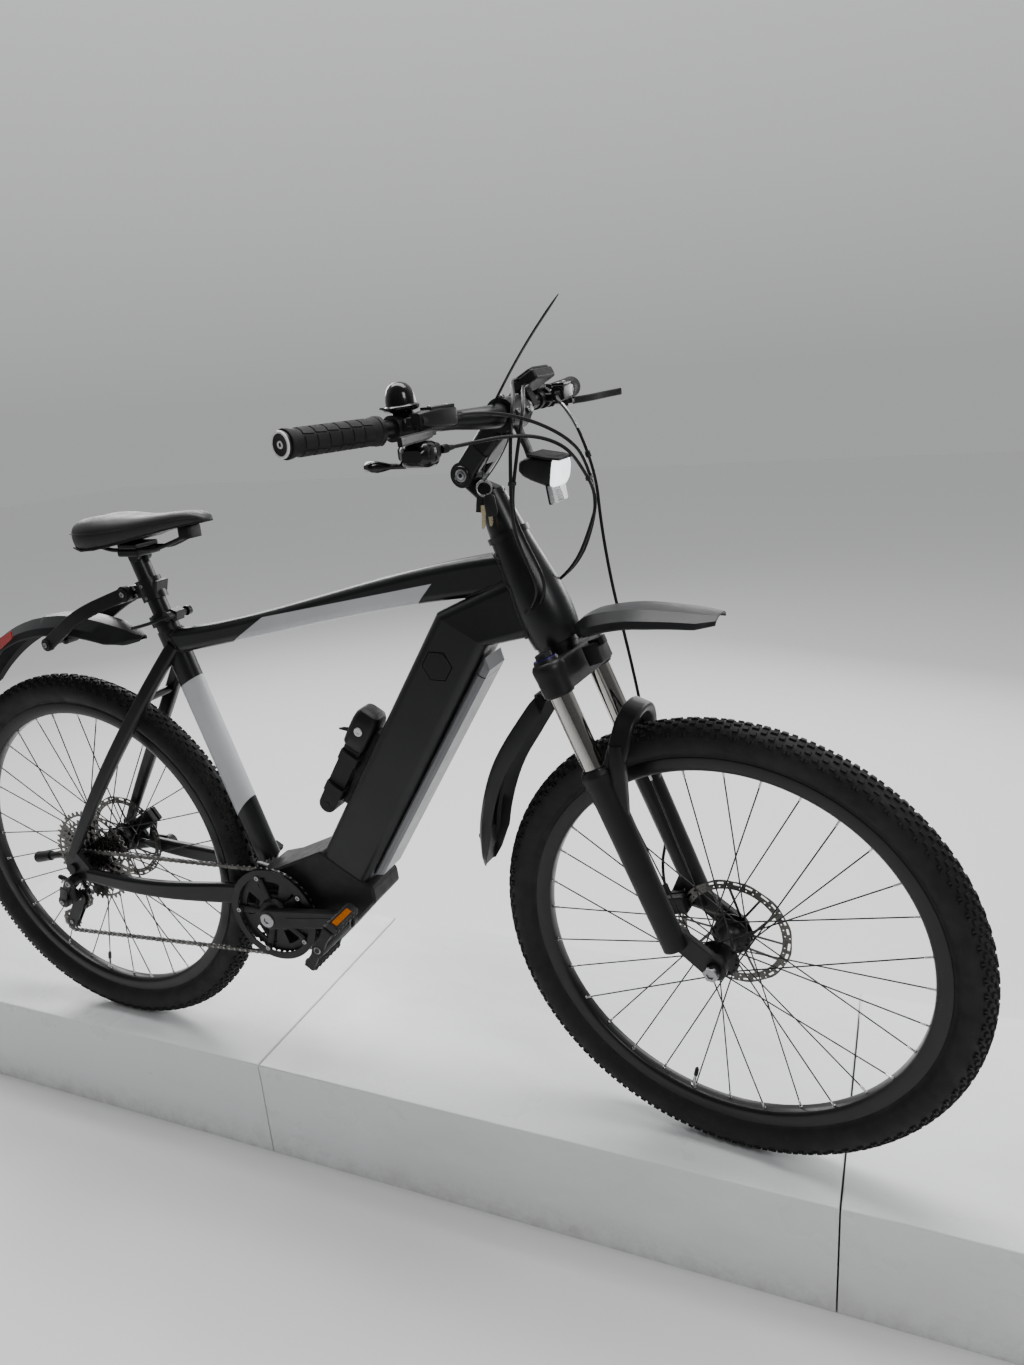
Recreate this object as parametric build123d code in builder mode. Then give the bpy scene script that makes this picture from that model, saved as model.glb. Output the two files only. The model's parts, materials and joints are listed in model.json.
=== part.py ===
"""A pedal-assist mountain bicycle standing on a run of low display plinths.

Everything is drawn in the bicycle's own side view first: X forward from the rear axle, Y to the
rider's left, Z up from the plinth's deck, in millimetres. keep() then turns what steers by the
rest angle and moves every piece so that the origin is at the bottom centre of the whole.
"""

import math
import os

from build123d import *

os.makedirs("parts", exist_ok=True)

# ---------------------------------------------------------------- driving dimensions
WHEEL_R = 368.0  # over the tread of a 57-622 tyre
TYRE_W = 57.0
RIM_R = 291.0  # inner edge of the rim, where the spokes enter
RIM_W = 28.0
WHEELBASE = 1238.0
BB = Vector(448, 0, 327)  # crank axle
HEAD_ANGLE = 68.0
FORK_OFFSET = 52.0  # front axle ahead of the steering axis
LEG_OFFSET = 10.0  # stanchions ahead of the steering axis
LEG_Y = 65.0  # stanchions either side of the middle
STEER_AT_REST = -7.0  # the bars are turned a little to the right
SEAT_ANGLE = 72.5
CRANK_LENGTH = 170.0
CRANK_RISE = 8.6  # degrees that the right crank points above level
CHAIN_Y = -56.0  # the chain's plane
CHAIN_PITCH = 12.7
RING_TEETH, COG_TEETH, PULLEY_TEETH = 42, 13, 11
AXLE_CLEAR = 0.05  # running clearance on a radius
DECK_GAP = 0.4  # between tyre and deck, so that the wheels turn
STAND_SEAMS = (-684.0, 366.0, 1416.0, 1950.0)  # ends of the three plinth units
STAND_FRONT, STAND_BACK, STAND_H = -82.0, 460.0, 205.0
ORIGIN = Vector(633.0, 35.0, -STAND_H)  # bottom centre of the whole

# ---------------------------------------------------------------- places worked out from them
REAR_AXLE = Vector(0, 0, WHEEL_R)
FRONT_AXLE = Vector(WHEELBASE, 0, WHEEL_R)
_h = math.radians(HEAD_ANGLE)
HEAD_UP = Vector(-math.cos(_h), 0, math.sin(_h))
HEAD_FWD = Vector(math.sin(_h), 0, math.cos(_h))
FORK_FOOT = FRONT_AXLE - HEAD_FWD * FORK_OFFSET
STEER_AXIS = Axis(FORK_FOOT, HEAD_UP)
_s = math.radians(SEAT_ANGLE)
SEAT_UP = Vector(-math.cos(_s), 0, math.sin(_s))
SEAT_TOP = Vector(262, 0, 862)  # centre of the seat tube's mouth
CROWN_LOW, CROWN_HIGH = 462.0, 508.0  # distances up the steering axis
HEAD_LOW, HEAD_HIGH = 524.0, 688.0
PIVOT_S, PIVOT_OFF = 795.0, -17.0  # the stem's hinge
BAR = Vector(948, 0, 1158)  # centre of the handlebar


def head(s, off=0.0, y=0.0):
    """The point s up the steering axis, off ahead of it and y to the left."""
    return FORK_FOOT + HEAD_UP * s + HEAD_FWD * off + Vector(0, y, 0)


def head_plane(s, off=0.0, y=0.0):
    """A plane across the steering axis, its x forward."""
    return Plane(origin=head(s, off, y), x_dir=HEAD_FWD, z_dir=HEAD_UP)


def seat(s, off=0.0, y=0.0):
    """The point s up from the seat tube's mouth, off behind it and y to the left."""
    back = Vector(-math.sin(_s), 0, -math.cos(_s))
    return SEAT_TOP + SEAT_UP * s + back * off + Vector(0, y, 0)


STEERED = set()  # names of the pieces that turn with the bars


def keep(solid, name, steers=False):
    """Writes one finished piece in the row's own frame."""
    if steers:
        STEERED.add(name)
        solid = solid.rotate(STEER_AXIS, STEER_AT_REST)
    solid = solid.moved(Location(-ORIGIN))
    solid.label = name
    export_step(solid, f"parts/{name}.step")


def joined(*shapes):
    """Several solids as one piece, fused where they meet."""
    with BuildPart() as made:
        for shape in shapes:
            add(shape)
    return made.part


def less(shape, *tools):
    """A solid with others cut away from it."""
    with BuildPart() as made:
        add(shape)
        for tool in tools:
            add(tool, mode=Mode.SUBTRACT)
    return made.part


def group(*shapes):
    """Several separate solids in one piece."""
    return Compound([solid for shape in shapes for solid in shape.solids()])


def sides(make):
    """The same piece made on the right, at side -1, and on the left, at side 1."""
    return [make(-1), make(1)]


def rod(start, end, radius, bore=0.0, end_radius=None):
    """A round rod or tube from one point to another, tapered if it has an end radius."""
    start, end = Vector(start), Vector(end)
    along = end - start
    with BuildPart() as made:
        with BuildSketch(Plane(origin=start, z_dir=along)):
            Circle(radius)
        if end_radius:
            with BuildSketch(Plane(origin=end, z_dir=along)):
                Circle(end_radius)
            loft()
        else:
            extrude(amount=along.length)
        if bore:
            with BuildSketch(Plane(origin=start, z_dir=along)):
                Circle(bore)
            extrude(amount=along.length, mode=Mode.SUBTRACT)
    return made.part


def block(centre, size, turn=0.0, soft=0.0):
    """A box about a point, turned about Y, with its edges eased."""
    with BuildPart(Plane(Location(Vector(centre), (0, turn, 0)))) as made:
        Box(*size)
        if soft:
            fillet(made.edges(), soft)
    return made.part


def plate(points, y_low, y_high, soft=0.0, bevel=0.0):
    """A side-view outline, in X and Z, as thick as from y_low to y_high."""
    with BuildPart() as made:
        with BuildSketch(Plane(origin=(0, y_low, 0), x_dir=(-1, 0, 0), z_dir=(0, 1, 0))) as sk:
            with BuildLine():
                Polyline(*[(-x, z) for x, z in points], close=True)
            make_face()
            if soft:
                fillet(sk.vertices(), soft)
        extrude(amount=y_high - y_low)
        if bevel:
            chamfer(made.faces().filter_by(Axis.Y).edges(), bevel)
    return made.part


def swept(points, radius, section=None, x_dir=(0, 1, 0)):
    """A round or rectangular bar along straight runs joined by arcs as large as the runs allow."""
    points = [Vector(p) for p in points]
    radii = []
    for before, here, after in zip(points, points[1:], points[2:]):
        turn = (here - before).get_angle(after - here)
        shorter = min((here - before).length, (after - here).length)
        radii.append(0.45 * shorter / math.tan(math.radians(max(turn, 0.5) / 2)))
    with BuildPart() as made:
        with BuildLine() as path:
            if radii:
                FilletPolyline(*points, radius=radii)
            else:
                Line(*points)
        start = points[1] - points[0]
        if section:
            with BuildSketch(Plane(origin=points[0], x_dir=x_dir, z_dir=start)):
                RectangleRounded(*section, radius)
        else:
            with BuildSketch(Plane(origin=points[0], z_dir=start)):
                Circle(radius)
        sweep(path=path.line)
    return made.part


def turned(profile, centre=(0, 0, 0)):
    """A ring or wheel about a lateral axle: profile is (distance left, radius) points."""
    with BuildPart() as made:
        with BuildSketch(Plane(origin=centre, x_dir=(0, 1, 0), z_dir=(1, 0, 0))):
            with BuildLine():
                Polyline(*profile, close=True)
            make_face()
        revolve(axis=Axis(centre, (0, 1, 0)))
    return made.part


def loft_along(stations):
    """A hollow-formed tube: stations are (point, direction, width, depth, corner)."""
    with BuildPart() as made:
        for point, direction, width, depth, corner in stations:
            with BuildSketch(Plane(origin=point, x_dir=(0, 1, 0), z_dir=direction)):
                RectangleRounded(width, depth, corner)
        loft()
    return made.part


# ================================================================ display plinth
def plinth_units():
    """Left and right ends of each unit, with a seam between neighbours."""
    return [(left + 1.5, right - 1.5) for left, right in zip(STAND_SEAMS, STAND_SEAMS[1:])]


LID_T = 24.0
DECK_Z = -DECK_GAP
LID_DEPTH = STAND_BACK - STAND_FRONT
stand_mid_y = (STAND_FRONT + STAND_BACK) / 2
base_h = STAND_H - DECK_GAP - LID_T
lids, bases = [], []
for left, right in plinth_units():
    centre_x, length = (left + right) / 2, right - left
    with BuildPart(Plane(origin=(centre_x, stand_mid_y, DECK_Z - LID_T))) as lid:
        Box(length, LID_DEPTH, LID_T, align=(Align.CENTER, Align.CENTER, Align.MIN))
        fillet(lid.faces().sort_by(Axis.Z)[-1].edges(), 2.5)
    lids.append(lid.part)
    with BuildPart(Plane(origin=(centre_x, stand_mid_y, -STAND_H))) as base:
        Box(length, LID_DEPTH - 2, base_h, align=(Align.CENTER, Align.CENTER, Align.MIN))
        offset(amount=-12, openings=base.faces().sort_by(Axis.Z)[-1])
    bases.append(base.part)
keep(group(*lids, *bases), "display_plinth")

# ================================================================ frame
HEAD_TUBE_R, STEERER_R = 30.0, 19.0
with BuildPart() as head_form:
    for s, radius in ((HEAD_LOW, 37), (HEAD_LOW + 40, 41), (HEAD_LOW + 105, 36), (HEAD_HIGH, 29)):
        with BuildSketch(head_plane(s, (radius - 29) * 0.25)):
            Circle(radius)
    loft()
head_outer = head_form.part
head_shell = less(head_outer, rod(head(HEAD_LOW - 5), head(HEAD_HIGH + 5), 24))


def headset_cup(low, high):
    """A cup with its bearing, which the steerer turns in."""
    return rod(head(low), head(high), HEAD_TUBE_R + 2, bore=STEERER_R + AXLE_CLEAR)


keep(
    group(head_shell, headset_cup(HEAD_LOW - 9, HEAD_LOW), headset_cup(HEAD_HIGH, HEAD_HIGH + 9)),
    "head_tube",
)

SLOPE = math.radians(58.4)  # of the down tube
DOWN_DIR = Vector(math.cos(SLOPE), 0, math.sin(SLOPE))
DOWN_OUT = Vector(math.sin(SLOPE), 0, -math.cos(SLOPE))  # square to it, towards the road
DOWN_INNER = Vector(554, 0, 453)  # where its upper edge leaves the drive unit
DOWN_LENGTH, DOWN_W, DOWN_DEPTH, COVER_T = 500.0, 84.0, 98.0, 15.0


def down(s, out=0.0, y=0.0):
    """The point s up the down tube's upper edge and out from it towards the road."""
    return DOWN_INNER + DOWN_DIR * s + DOWN_OUT * out + Vector(0, y, 0)


NECK = (Vector(968, 0, 893), Vector(0.955, 0, 0.296))  # the down tube's end in the head tube
down_straight = loft_along(
    [
        (down(0, DOWN_DEPTH / 2), DOWN_DIR, DOWN_W, DOWN_DEPTH, 16),
        (down(DOWN_LENGTH, DOWN_DEPTH / 2 - 2), DOWN_DIR, DOWN_W - 6, DOWN_DEPTH - 4, 16),
    ]
)
down_neck = loft_along(
    [
        (down(DOWN_LENGTH, DOWN_DEPTH / 2 - 2), DOWN_DIR, DOWN_W - 6, DOWN_DEPTH - 4, 16),
        (NECK[0], NECK[1], 58, 96, 16),
    ]
)
seat_outer = rod(seat(-34), seat(0), 19.5)
seat_lower_axis = seat(-478)
with BuildPart() as seat_body:
    with BuildSketch(Plane(origin=seat_lower_axis, x_dir=(0, 1, 0), z_dir=SEAT_UP)):
        RectangleRounded(38, 45, 18)
    extrude(amount=446)
    add(seat_outer)
seat_solid = seat_body.part

top_solid = loft_along(
    [
        (Vector(272, 0, 810), Vector(0.985, 0, 0.175), 36, 44, 12),
        (Vector(440, 0, 840), Vector(0.978, 0, 0.208), 38, 38, 12),
        (Vector(600, 0, 876), Vector(0.975, 0, 0.222), 42, 42, 12),
        (Vector(945, 0, 937), Vector(0.985, 0, 0.172), 50, 62, 14),
    ]
)

DRIVE_OUTLINE = [
    (398, 352), (414, 398), (455, 410), (552, 455), (650, 398), (652, 372),
    (600, 318), (548, 262), (470, 243), (408, 256), (384, 300),
]
drive_solid = plate(DRIVE_OUTLINE, -44, 44, soft=9, bevel=4)
DRIVE_CAVITY = [(476, 392), (548, 432), (622, 386), (588, 334), (542, 284), (498, 268)]
drive_cavity = plate(DRIVE_CAVITY, -36, 36, soft=8)
spindle_bore = rod(BB + Vector(0, -80, 0), BB + Vector(0, 80, 0), 12 + AXLE_CLEAR)

BATTERY_FROM, BATTERY_TO, WALL = 28.0, 392.0, 4.0
battery_bay = loft_along(
    [
        (down(s, DOWN_DEPTH / 2), DOWN_DIR, DOWN_W - 14, DOWN_DEPTH - 2 * WALL - 4, 8)
        for s in (BATTERY_FROM, BATTERY_TO)
    ]
)
battery = block(
    down((BATTERY_FROM + BATTERY_TO) / 2, DOWN_DEPTH / 2),
    (BATTERY_TO - BATTERY_FROM - 4, DOWN_W - 18, DOWN_DEPTH - 2 * WALL - 8),
    -math.degrees(SLOPE),
    soft=6,
)
keep(battery, "battery")
down_solid = less(joined(down_straight, down_neck), head_outer, drive_solid, battery_bay)
seatpost_bore = rod(seat(-300), seat(10), 15.9 + AXLE_CLEAR)
seat_solid = less(seat_solid, drive_solid, seatpost_bore)
top_cavity = loft_along(
    [
        (Vector(310, 0, 817), Vector(0.985, 0, 0.175), 30, 32, 9),
        (Vector(440, 0, 840), Vector(0.978, 0, 0.208), 31, 30, 9),
        (Vector(600, 0, 876), Vector(0.975, 0, 0.222), 36, 36, 9),
        (Vector(800, 0, 914), Vector(0.980, 0, 0.197), 38, 46, 9),
    ]
)
top_trims = (head_outer, down_solid, seat_solid, rod(seat(-200), seat(10), 18))
top_solid = less(top_solid, *top_trims, top_cavity)

# the charge port's flap lies in a shallow pocket in the tube's right side
FLAP = down(430, 40)
FLAP_HINGE = down(450, 40, -40)


def hexagon_block(centre, radius, y_low, y_high):
    """A six-sided block through the tube's side wall."""
    with BuildPart() as made:
        with BuildSketch(Plane(origin=(centre.X, y_low, centre.Z), x_dir=DOWN_DIR, z_dir=(0, 1, 0))):
            RegularPolygon(radius, 6)
        extrude(amount=y_high - y_low)
    return made.part


flap_side = -(DOWN_W - 5) / 2
down_solid = less(down_solid, hexagon_block(FLAP, 26, flap_side - 6, flap_side + 7))
keep(down_solid, "down_tube")
flap_pin = rod(FLAP_HINGE - DOWN_OUT * 7, FLAP_HINGE + DOWN_OUT * 7, 1.2)
flap = hexagon_block(FLAP, 24.5, flap_side - 0.5, flap_side + 4.5)
keep(joined(flap, flap_pin), "charge_flap")
keep(top_solid, "top_tube")
keep(seat_solid, "seat_tube")

cover_outline = [down(18, 98.1), down(482, 98.1), down(468, 98 + COVER_T), down(30, 98 + COVER_T)]
cover = plate([(p.X, p.Z) for p in cover_outline], -33, 33, bevel=4)
keep(less(cover, down_solid, drive_solid), "battery_cover")

# drive unit with its side covers
drive_ring = rod(BB + Vector(0, -50, 0), BB + Vector(0, -44, 0), 42)
drive_cap = rod(BB + Vector(0, 44, 0), BB + Vector(0, 52, 0), 46)
drive_unit = less(joined(drive_solid, drive_ring, drive_cap), spindle_bore)
keep(less(drive_unit, drive_cavity), "drive_unit")

# ---------------------------------------------------------------- rear triangle
DROPOUT_Y, DROPOUT_T = 76.0, 8.0
AXLE_R = 6.0


def chainstay(side):
    """One stay from the drive unit to its dropout, with the dropout."""
    tube = loft_along(
        [
            (Vector(410, side * 33, 342), Vector(-0.98, side * 0.1, 0.05), 16, 36, 6),
            (Vector(352, side * 40.5, 344), Vector(-0.97, side * 0.2, 0), 15, 40, 6),
            (Vector(285, side * 55, 345), Vector(-0.98, side * 0.18, 0), 16, 38, 6),
            (Vector(150, side * 72, 347), Vector(-0.99, side * 0.05, 0.02), 18, 32, 7),
            (Vector(34, side * 77, 356), Vector(-0.98, 0, 0.1), 14, 26, 6),
        ]
    )
    outline = [(40, 342), (40, 372), (12, 404), (-14, 400), (-20, 362), (-8, 346)]
    low = min(side * (DROPOUT_Y - DROPOUT_T / 2), side * (DROPOUT_Y + DROPOUT_T / 2))
    return joined(tube, plate(outline, low, low + DROPOUT_T, soft=5))


def seatstay(side):
    """One stay from the dropout to the seat tube."""
    return loft_along(
        [
            (Vector(-1, side * 75.5, 392), Vector(0.5, 0, 0.866), 12, 20, 5),
            (Vector(60, side * 68, 488), Vector(0.54, side * -0.08, 0.84), 16, 24, 7),
            (Vector(232, side * 34, 730), Vector(0.58, side * -0.12, 0.81), 18, 26, 7),
            (Vector(288, side * 15, 806), Vector(0.6, side * -0.2, 0.79), 16, 26, 7),
        ]
    )


axle_bore = rod((0, -100, WHEEL_R), (0, 100, WHEEL_R), AXLE_R)
stays_low = less(joined(*sides(chainstay)), drive_unit, axle_bore, seat_solid)
KICK_PIVOT = Vector(62, 92, 338)
kick_mount = block((62, 85, 350), (44, 6, 34), soft=2)
kick_lug = rod((62, 82, 338), (62, 103, 338), 6.5)
stays_low = joined(stays_low, less(kick_mount, stays_low), less(kick_lug, stays_low))
keep(stays_low, "chainstays")
stays_high = joined(*sides(seatstay), rod((217, -36, 709), (217, 36, 709), 7))
seat_around = rod(seat(-478), seat(0), 17)
keep(less(stays_high, seat_solid, seat_around, stays_low, top_solid, axle_bore), "seatstays")

rear_axle = joined(
    rod((0, -86, WHEEL_R), (0, 84, WHEEL_R), AXLE_R),
    rod((0, 80, WHEEL_R), (0, 88, WHEEL_R), 9),
    rod((0, -86, WHEEL_R), (0, -80, WHEEL_R), 9),
)
keep(rear_axle, "rear_axle")

# ---------------------------------------------------------------- kickstand, folded back
KICK_FOOT = Vector(-322, 112, 252)
kick_leg = joined(
    rod((62, 103.3, 338), (62, 117, 338), 15),
    rod((54, 110, 337), KICK_FOOT, 9, end_radius=8),
    rod(KICK_FOOT + Vector(-20, 0, -4), KICK_FOOT + Vector(22, 0, 4.9), 13, end_radius=11),
)
keep(kick_leg, "kickstand_leg")

# ================================================================ wheels
HUB_BORE = AXLE_R + AXLE_CLEAR
SPOKES_A_SIDE = 16
SPOKE_R = 1.0


def polar(centre, radius, degrees, y=0.0):
    """A point on a circle in the side view."""
    a = math.radians(degrees)
    return Vector(centre.X + radius * math.cos(a), y, centre.Z + radius * math.sin(a))


def tyre(centre):
    """A tyre: a round casing whose tread is flatter than its sides, open towards the rim."""
    mid = WHEEL_R - TYRE_W / 2
    with BuildPart() as made:
        with BuildSketch(Plane(origin=centre, x_dir=(0, 1, 0), z_dir=(1, 0, 0))) as sk:
            with Locations((0, mid)):
                Circle(TYRE_W / 2)
            with Locations((0, RIM_R + 16)):
                Rectangle(26, 24)
            with Locations((0, mid - 3)):
                Circle(TYRE_W / 2 - 4, mode=Mode.SUBTRACT)
            with Locations((0, RIM_R + 10)):
                Rectangle(18, 30, mode=Mode.SUBTRACT)
        revolve(axis=Axis(centre, (0, 1, 0)))
    return made.part


def rim(centre):
    """A box-section rim with a well, and bead hooks outside the tyre's beads."""
    half = RIM_W / 2
    profile = [
        (-8, RIM_R), (8, RIM_R), (half, RIM_R + 9), (half, RIM_R + 22), (half - 0.9, RIM_R + 22),
        (half - 0.9, RIM_R + 4 + 6), (9, RIM_R + 3), (-9, RIM_R + 3), (0.9 - half, RIM_R + 10),
        (0.9 - half, RIM_R + 22), (-half, RIM_R + 22), (-half, RIM_R + 9),
    ]
    return turned(profile, centre)


def spokes(centre, flange_ys, flange_r):
    """Laced three across: each starts at one face of a flange and ends at the rim."""
    made = []
    step = 360 / SPOKES_A_SIDE
    for flange_y in flange_ys:
        side = math.copysign(1, flange_y)
        for index in range(SPOKES_A_SIDE):
            leading = 1 if index % 2 else -1
            face = 2.6 * leading
            start_angle = index * step + (0 if side > 0 else step / 2)
            end_angle = start_angle + leading * 2.5 * step
            start = polar(centre, flange_r, start_angle, flange_y + face)
            end = polar(centre, RIM_R - 0.2, end_angle, side * 3.5)
            made.append(rod(start, end, SPOKE_R))
    return group(*made)


def rotor(centre, y):
    """A brake disc: a braking ring on slanting arms."""
    with BuildPart() as made:
        with BuildSketch(Plane(origin=(centre.X, y, centre.Z), x_dir=(1, 0, 0), z_dir=(0, 1, 0))):
            Circle(90)
            Circle(75, mode=Mode.SUBTRACT)
            Circle(26)
            with PolarLocations(0, 6):
                with Locations((48, 10)):
                    Rectangle(62, 6, rotation=-14)
        extrude(amount=1.9)
    return made.part


def hub(centre, ends, flange_ys, flange_r, barrel_r, rotor_y):
    """A turned hub shell with its disc, bored for the axle."""
    low, high = ends
    left_flange, right_flange = max(flange_ys), min(flange_ys)
    profile = [
        (low, HUB_BORE), (low, 10), (right_flange - 5, 12), (right_flange - 1.6, flange_r - 8),
        (right_flange - 1.6, flange_r + 4), (right_flange + 1.6, flange_r + 4),
        (right_flange + 1.6, flange_r - 6), (right_flange + 8, barrel_r), (left_flange - 8, barrel_r),
        (left_flange - 1.6, flange_r - 6), (left_flange - 1.6, flange_r + 4),
        (left_flange + 1.6, flange_r + 4), (left_flange + 1.6, 22), (rotor_y, 22), (rotor_y, 11),
        (high, 10), (high, HUB_BORE),
    ]
    disc = rotor(centre, rotor_y)
    disc = less(disc, rod(centre + Vector(0, -99, 0), centre + Vector(0, 99, 0), 10.9))
    return joined(turned(profile, centre), disc)


FRONT_FLANGES, REAR_FLANGES, FLANGE_R = (-33, 26), (-19, 36), 26.0
FRONT_ROTOR_Y, REAR_ROTOR_Y = 38.0, 57.5
front_hub_ends, rear_hub_ends = (-50.7, 50.7), (-23.6, 71.7)
keep(less(tyre(FRONT_AXLE), rim(FRONT_AXLE)), "front_tyre", steers=True)
keep(rim(FRONT_AXLE), "front_rim", steers=True)
keep(spokes(FRONT_AXLE, FRONT_FLANGES, FLANGE_R), "front_spokes", steers=True)
front_hub = hub(FRONT_AXLE, front_hub_ends, FRONT_FLANGES, FLANGE_R, 14, FRONT_ROTOR_Y)
keep(front_hub, "front_hub", steers=True)
keep(less(tyre(REAR_AXLE), rim(REAR_AXLE)), "rear_tyre")
keep(rim(REAR_AXLE), "rear_rim")
keep(spokes(REAR_AXLE, REAR_FLANGES, FLANGE_R), "rear_spokes")
keep(hub(REAR_AXLE, rear_hub_ends, REAR_FLANGES, FLANGE_R, 16, REAR_ROTOR_Y), "rear_hub")


def caliper(centre, rotor_y, turn, y_low, y_high):
    """A brake caliper with a slot for the disc."""
    middle = Vector(centre.X, (y_low + y_high) / 2, centre.Z)
    body = block(middle, (46, y_high - y_low, 30), turn, soft=4)
    slot = block(Vector(centre.X, rotor_y + 0.95, centre.Z), (90, 4.5, 60), turn)
    return less(body, slot)


rear_caliper = joined(
    caliper(polar(REAR_AXLE, 86, 34), REAR_ROTOR_Y, -34, 44, 70),
    block((66, 68, 384), (14, 6, 46), 20, soft=1),
)
keep(less(rear_caliper, stays_low, stays_high), "rear_caliper")

# ================================================================ chain drive
RING_PITCH_R = RING_TEETH * CHAIN_PITCH / (2 * math.pi)
COG_PITCH_R = COG_TEETH * CHAIN_PITCH / (2 * math.pi)
PULLEY_PITCH_R = PULLEY_TEETH * CHAIN_PITCH / (2 * math.pi)
CHAIN_H, CHAIN_W = 8.0, 5.6
GUIDE, TENSION = Vector(-24, 0, 289), Vector(-62, 0, 229)
# centre, pitch radius, and 1 where the chain runs clockwise seen from the right
ROUND = [(BB, RING_PITCH_R, 1), (TENSION, PULLEY_PITCH_R, 1), (GUIDE, PULLEY_PITCH_R, -1)]
ROUND.append((REAR_AXLE, COG_PITCH_R, 1))


def chain_loop(out):
    """The closed side-view line of the chain, moved out from its pitch line."""
    flat = [(Vector(c.X, c.Z), r + sense * out, sense) for c, r, sense in ROUND]
    runs = []
    for (a, ra, sa), (b, rb, sb) in zip(flat, flat[1:] + flat[:1]):
        across = b - a
        k = sa * ra - sb * rb
        run = math.sqrt(across.length**2 - k**2)
        angle = math.atan2(across.Y, across.X) - math.atan2(k, run)
        normal = Vector(-math.sin(angle), math.cos(angle))
        runs.append((a + normal * (sa * ra), b + normal * (sb * rb)))
    with BuildLine() as line:
        for index, (start, end) in enumerate(runs):
            Line(start, end)
            centre, radius, sense = flat[(index + 1) % len(flat)]
            leave = runs[(index + 1) % len(runs)][0]
            first = math.atan2(end.Y - centre.Y, end.X - centre.X)
            last = math.atan2(leave.Y - centre.Y, leave.X - centre.X)
            span = (first - last) * sense % (2 * math.pi)
            half = first - sense * span / 2
            middle = centre + Vector(math.cos(half), math.sin(half)) * radius
            ThreePointArc(end, middle, leave)
    return line.line


def chain_face(out):
    """The side view inside a chain line, on the chain's right-hand face."""
    with BuildSketch() as sk:
        with BuildLine():
            add(chain_loop(out))
        make_face()
    return sk.sketch


SIDE_VIEW = Plane(origin=(0, CHAIN_Y - CHAIN_W / 2, 0), x_dir=(1, 0, 0), z_dir=(0, -1, 0))
with BuildPart() as chain:
    with BuildSketch(SIDE_VIEW):
        add(chain_face(CHAIN_H / 2))
        add(chain_face(-CHAIN_H / 2), mode=Mode.SUBTRACT)
    extrude(amount=-CHAIN_W)
keep(chain.part, "chain")

BITE = CHAIN_H / 2 + 0.4  # teeth are left off up to here, where the chain lies
COG_STEP, COG_HALF = 4.0, 0.9
COGS = (46, 38, 32, 27, 23, 19, 16, COG_TEETH)


def cassette_profile():
    """Cogs from the smallest, at the right, to the largest, with spacers between."""
    points = [(CHAIN_Y - 6, HUB_BORE), (CHAIN_Y - 6, 16)]
    for index, teeth in enumerate(reversed(COGS)):
        y = CHAIN_Y + index * COG_STEP
        radius = teeth * CHAIN_PITCH / (2 * math.pi) - (BITE if index == 0 else 0)
        inner = max(17.0, radius - 14)
        low, high = y - COG_HALF, y + COG_HALF
        points += [(low, inner), (low, radius), (high, radius), (high, inner)]
    last_y = points[-1][0]
    return points + [(last_y, 16), (-24.0, 16), (-24.0, HUB_BORE)]


end_collar = turned([(-71.7, HUB_BORE), (-71.7, 11), (-62, 11), (-62, HUB_BORE)], REAR_AXLE)
keep(joined(turned(cassette_profile(), REAR_AXLE), end_collar), "cassette")


def disc(centre, radius, y, thickness, bore=0.0):
    """A flat disc about a lateral axle, centred on y."""
    start = Vector(centre.X, y - thickness / 2, centre.Z)
    return rod(start, start + Vector(0, thickness, 0), radius, bore=bore)


PIN_R = 4.0
for name, centre in (("guide_pulley", GUIDE), ("tension_pulley", TENSION)):
    keep(disc(centre, PULLEY_PITCH_R - BITE, CHAIN_Y, 6.4, bore=PIN_R + AXLE_CLEAR), name)


def cage_plate(y):
    """One side of the derailleur's cage."""
    with BuildPart() as made:
        with BuildSketch(Plane(origin=(0, y - 1, 0), x_dir=(-1, 0, 0), z_dir=(0, 1, 0))):
            for centre, radius in ((GUIDE, 13), (TENSION, 11)):
                with Locations((-centre.X, centre.Z)):
                    Circle(radius)
            make_hull()
        extrude(amount=2)
    return made.part


cage = joined(
    cage_plate(CHAIN_Y - 5.5),
    cage_plate(CHAIN_Y + 5.5),
    disc(GUIDE, PIN_R, CHAIN_Y, 12),
    disc(TENSION, PIN_R, CHAIN_Y, 12),
)
keep(cage, "derailleur_cage")
CAGE_FACE = CHAIN_Y - 6.5
derailleur = joined(
    rod((0, -95, 344), (0, -80.2, 344), 10),
    rod((-32, -84, 297), (-32, CAGE_FACE, 297), 13),
    swept([(0, -87, 344), (-22, -84, 326), (-32, -78, 297)], 4, section=(14, 24)),
)
keep(less(derailleur, stays_low), "derailleur_body")

# cranks, chainring and pedals
_c = math.radians(CRANK_RISE)
CRANK_DIR = Vector(math.cos(_c), 0, math.sin(_c))
SPINDLE_R, PEDAL_AXLE_R = 12.0, 4.5
RIGHT_ARM, LEFT_ARM = (-82.0, -68.0), (60.0, 74.0)


def crank_arm(way, faces):
    """One arm, from the spindle to the pedal's thread."""
    end = BB + CRANK_DIR * (way * CRANK_LENGTH)
    with BuildPart() as made:
        with BuildSketch(Plane(origin=(0, faces[0], 0), x_dir=(-1, 0, 0), z_dir=(0, 1, 0))):
            for centre, radius in ((BB, 19), (end, 14)):
                with Locations((-centre.X, centre.Z)):
                    Circle(radius)
            make_hull()
        extrude(amount=faces[1] - faces[0])
        chamfer(made.faces().filter_by(Axis.Y).edges(), 2)
    return made.part


def pedal_axle(end, from_y, to_y):
    """The axle that a pedal turns on, screwed through the arm's end."""
    return rod(end + Vector(0, from_y, 0), end + Vector(0, to_y, 0), PEDAL_AXLE_R)


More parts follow.
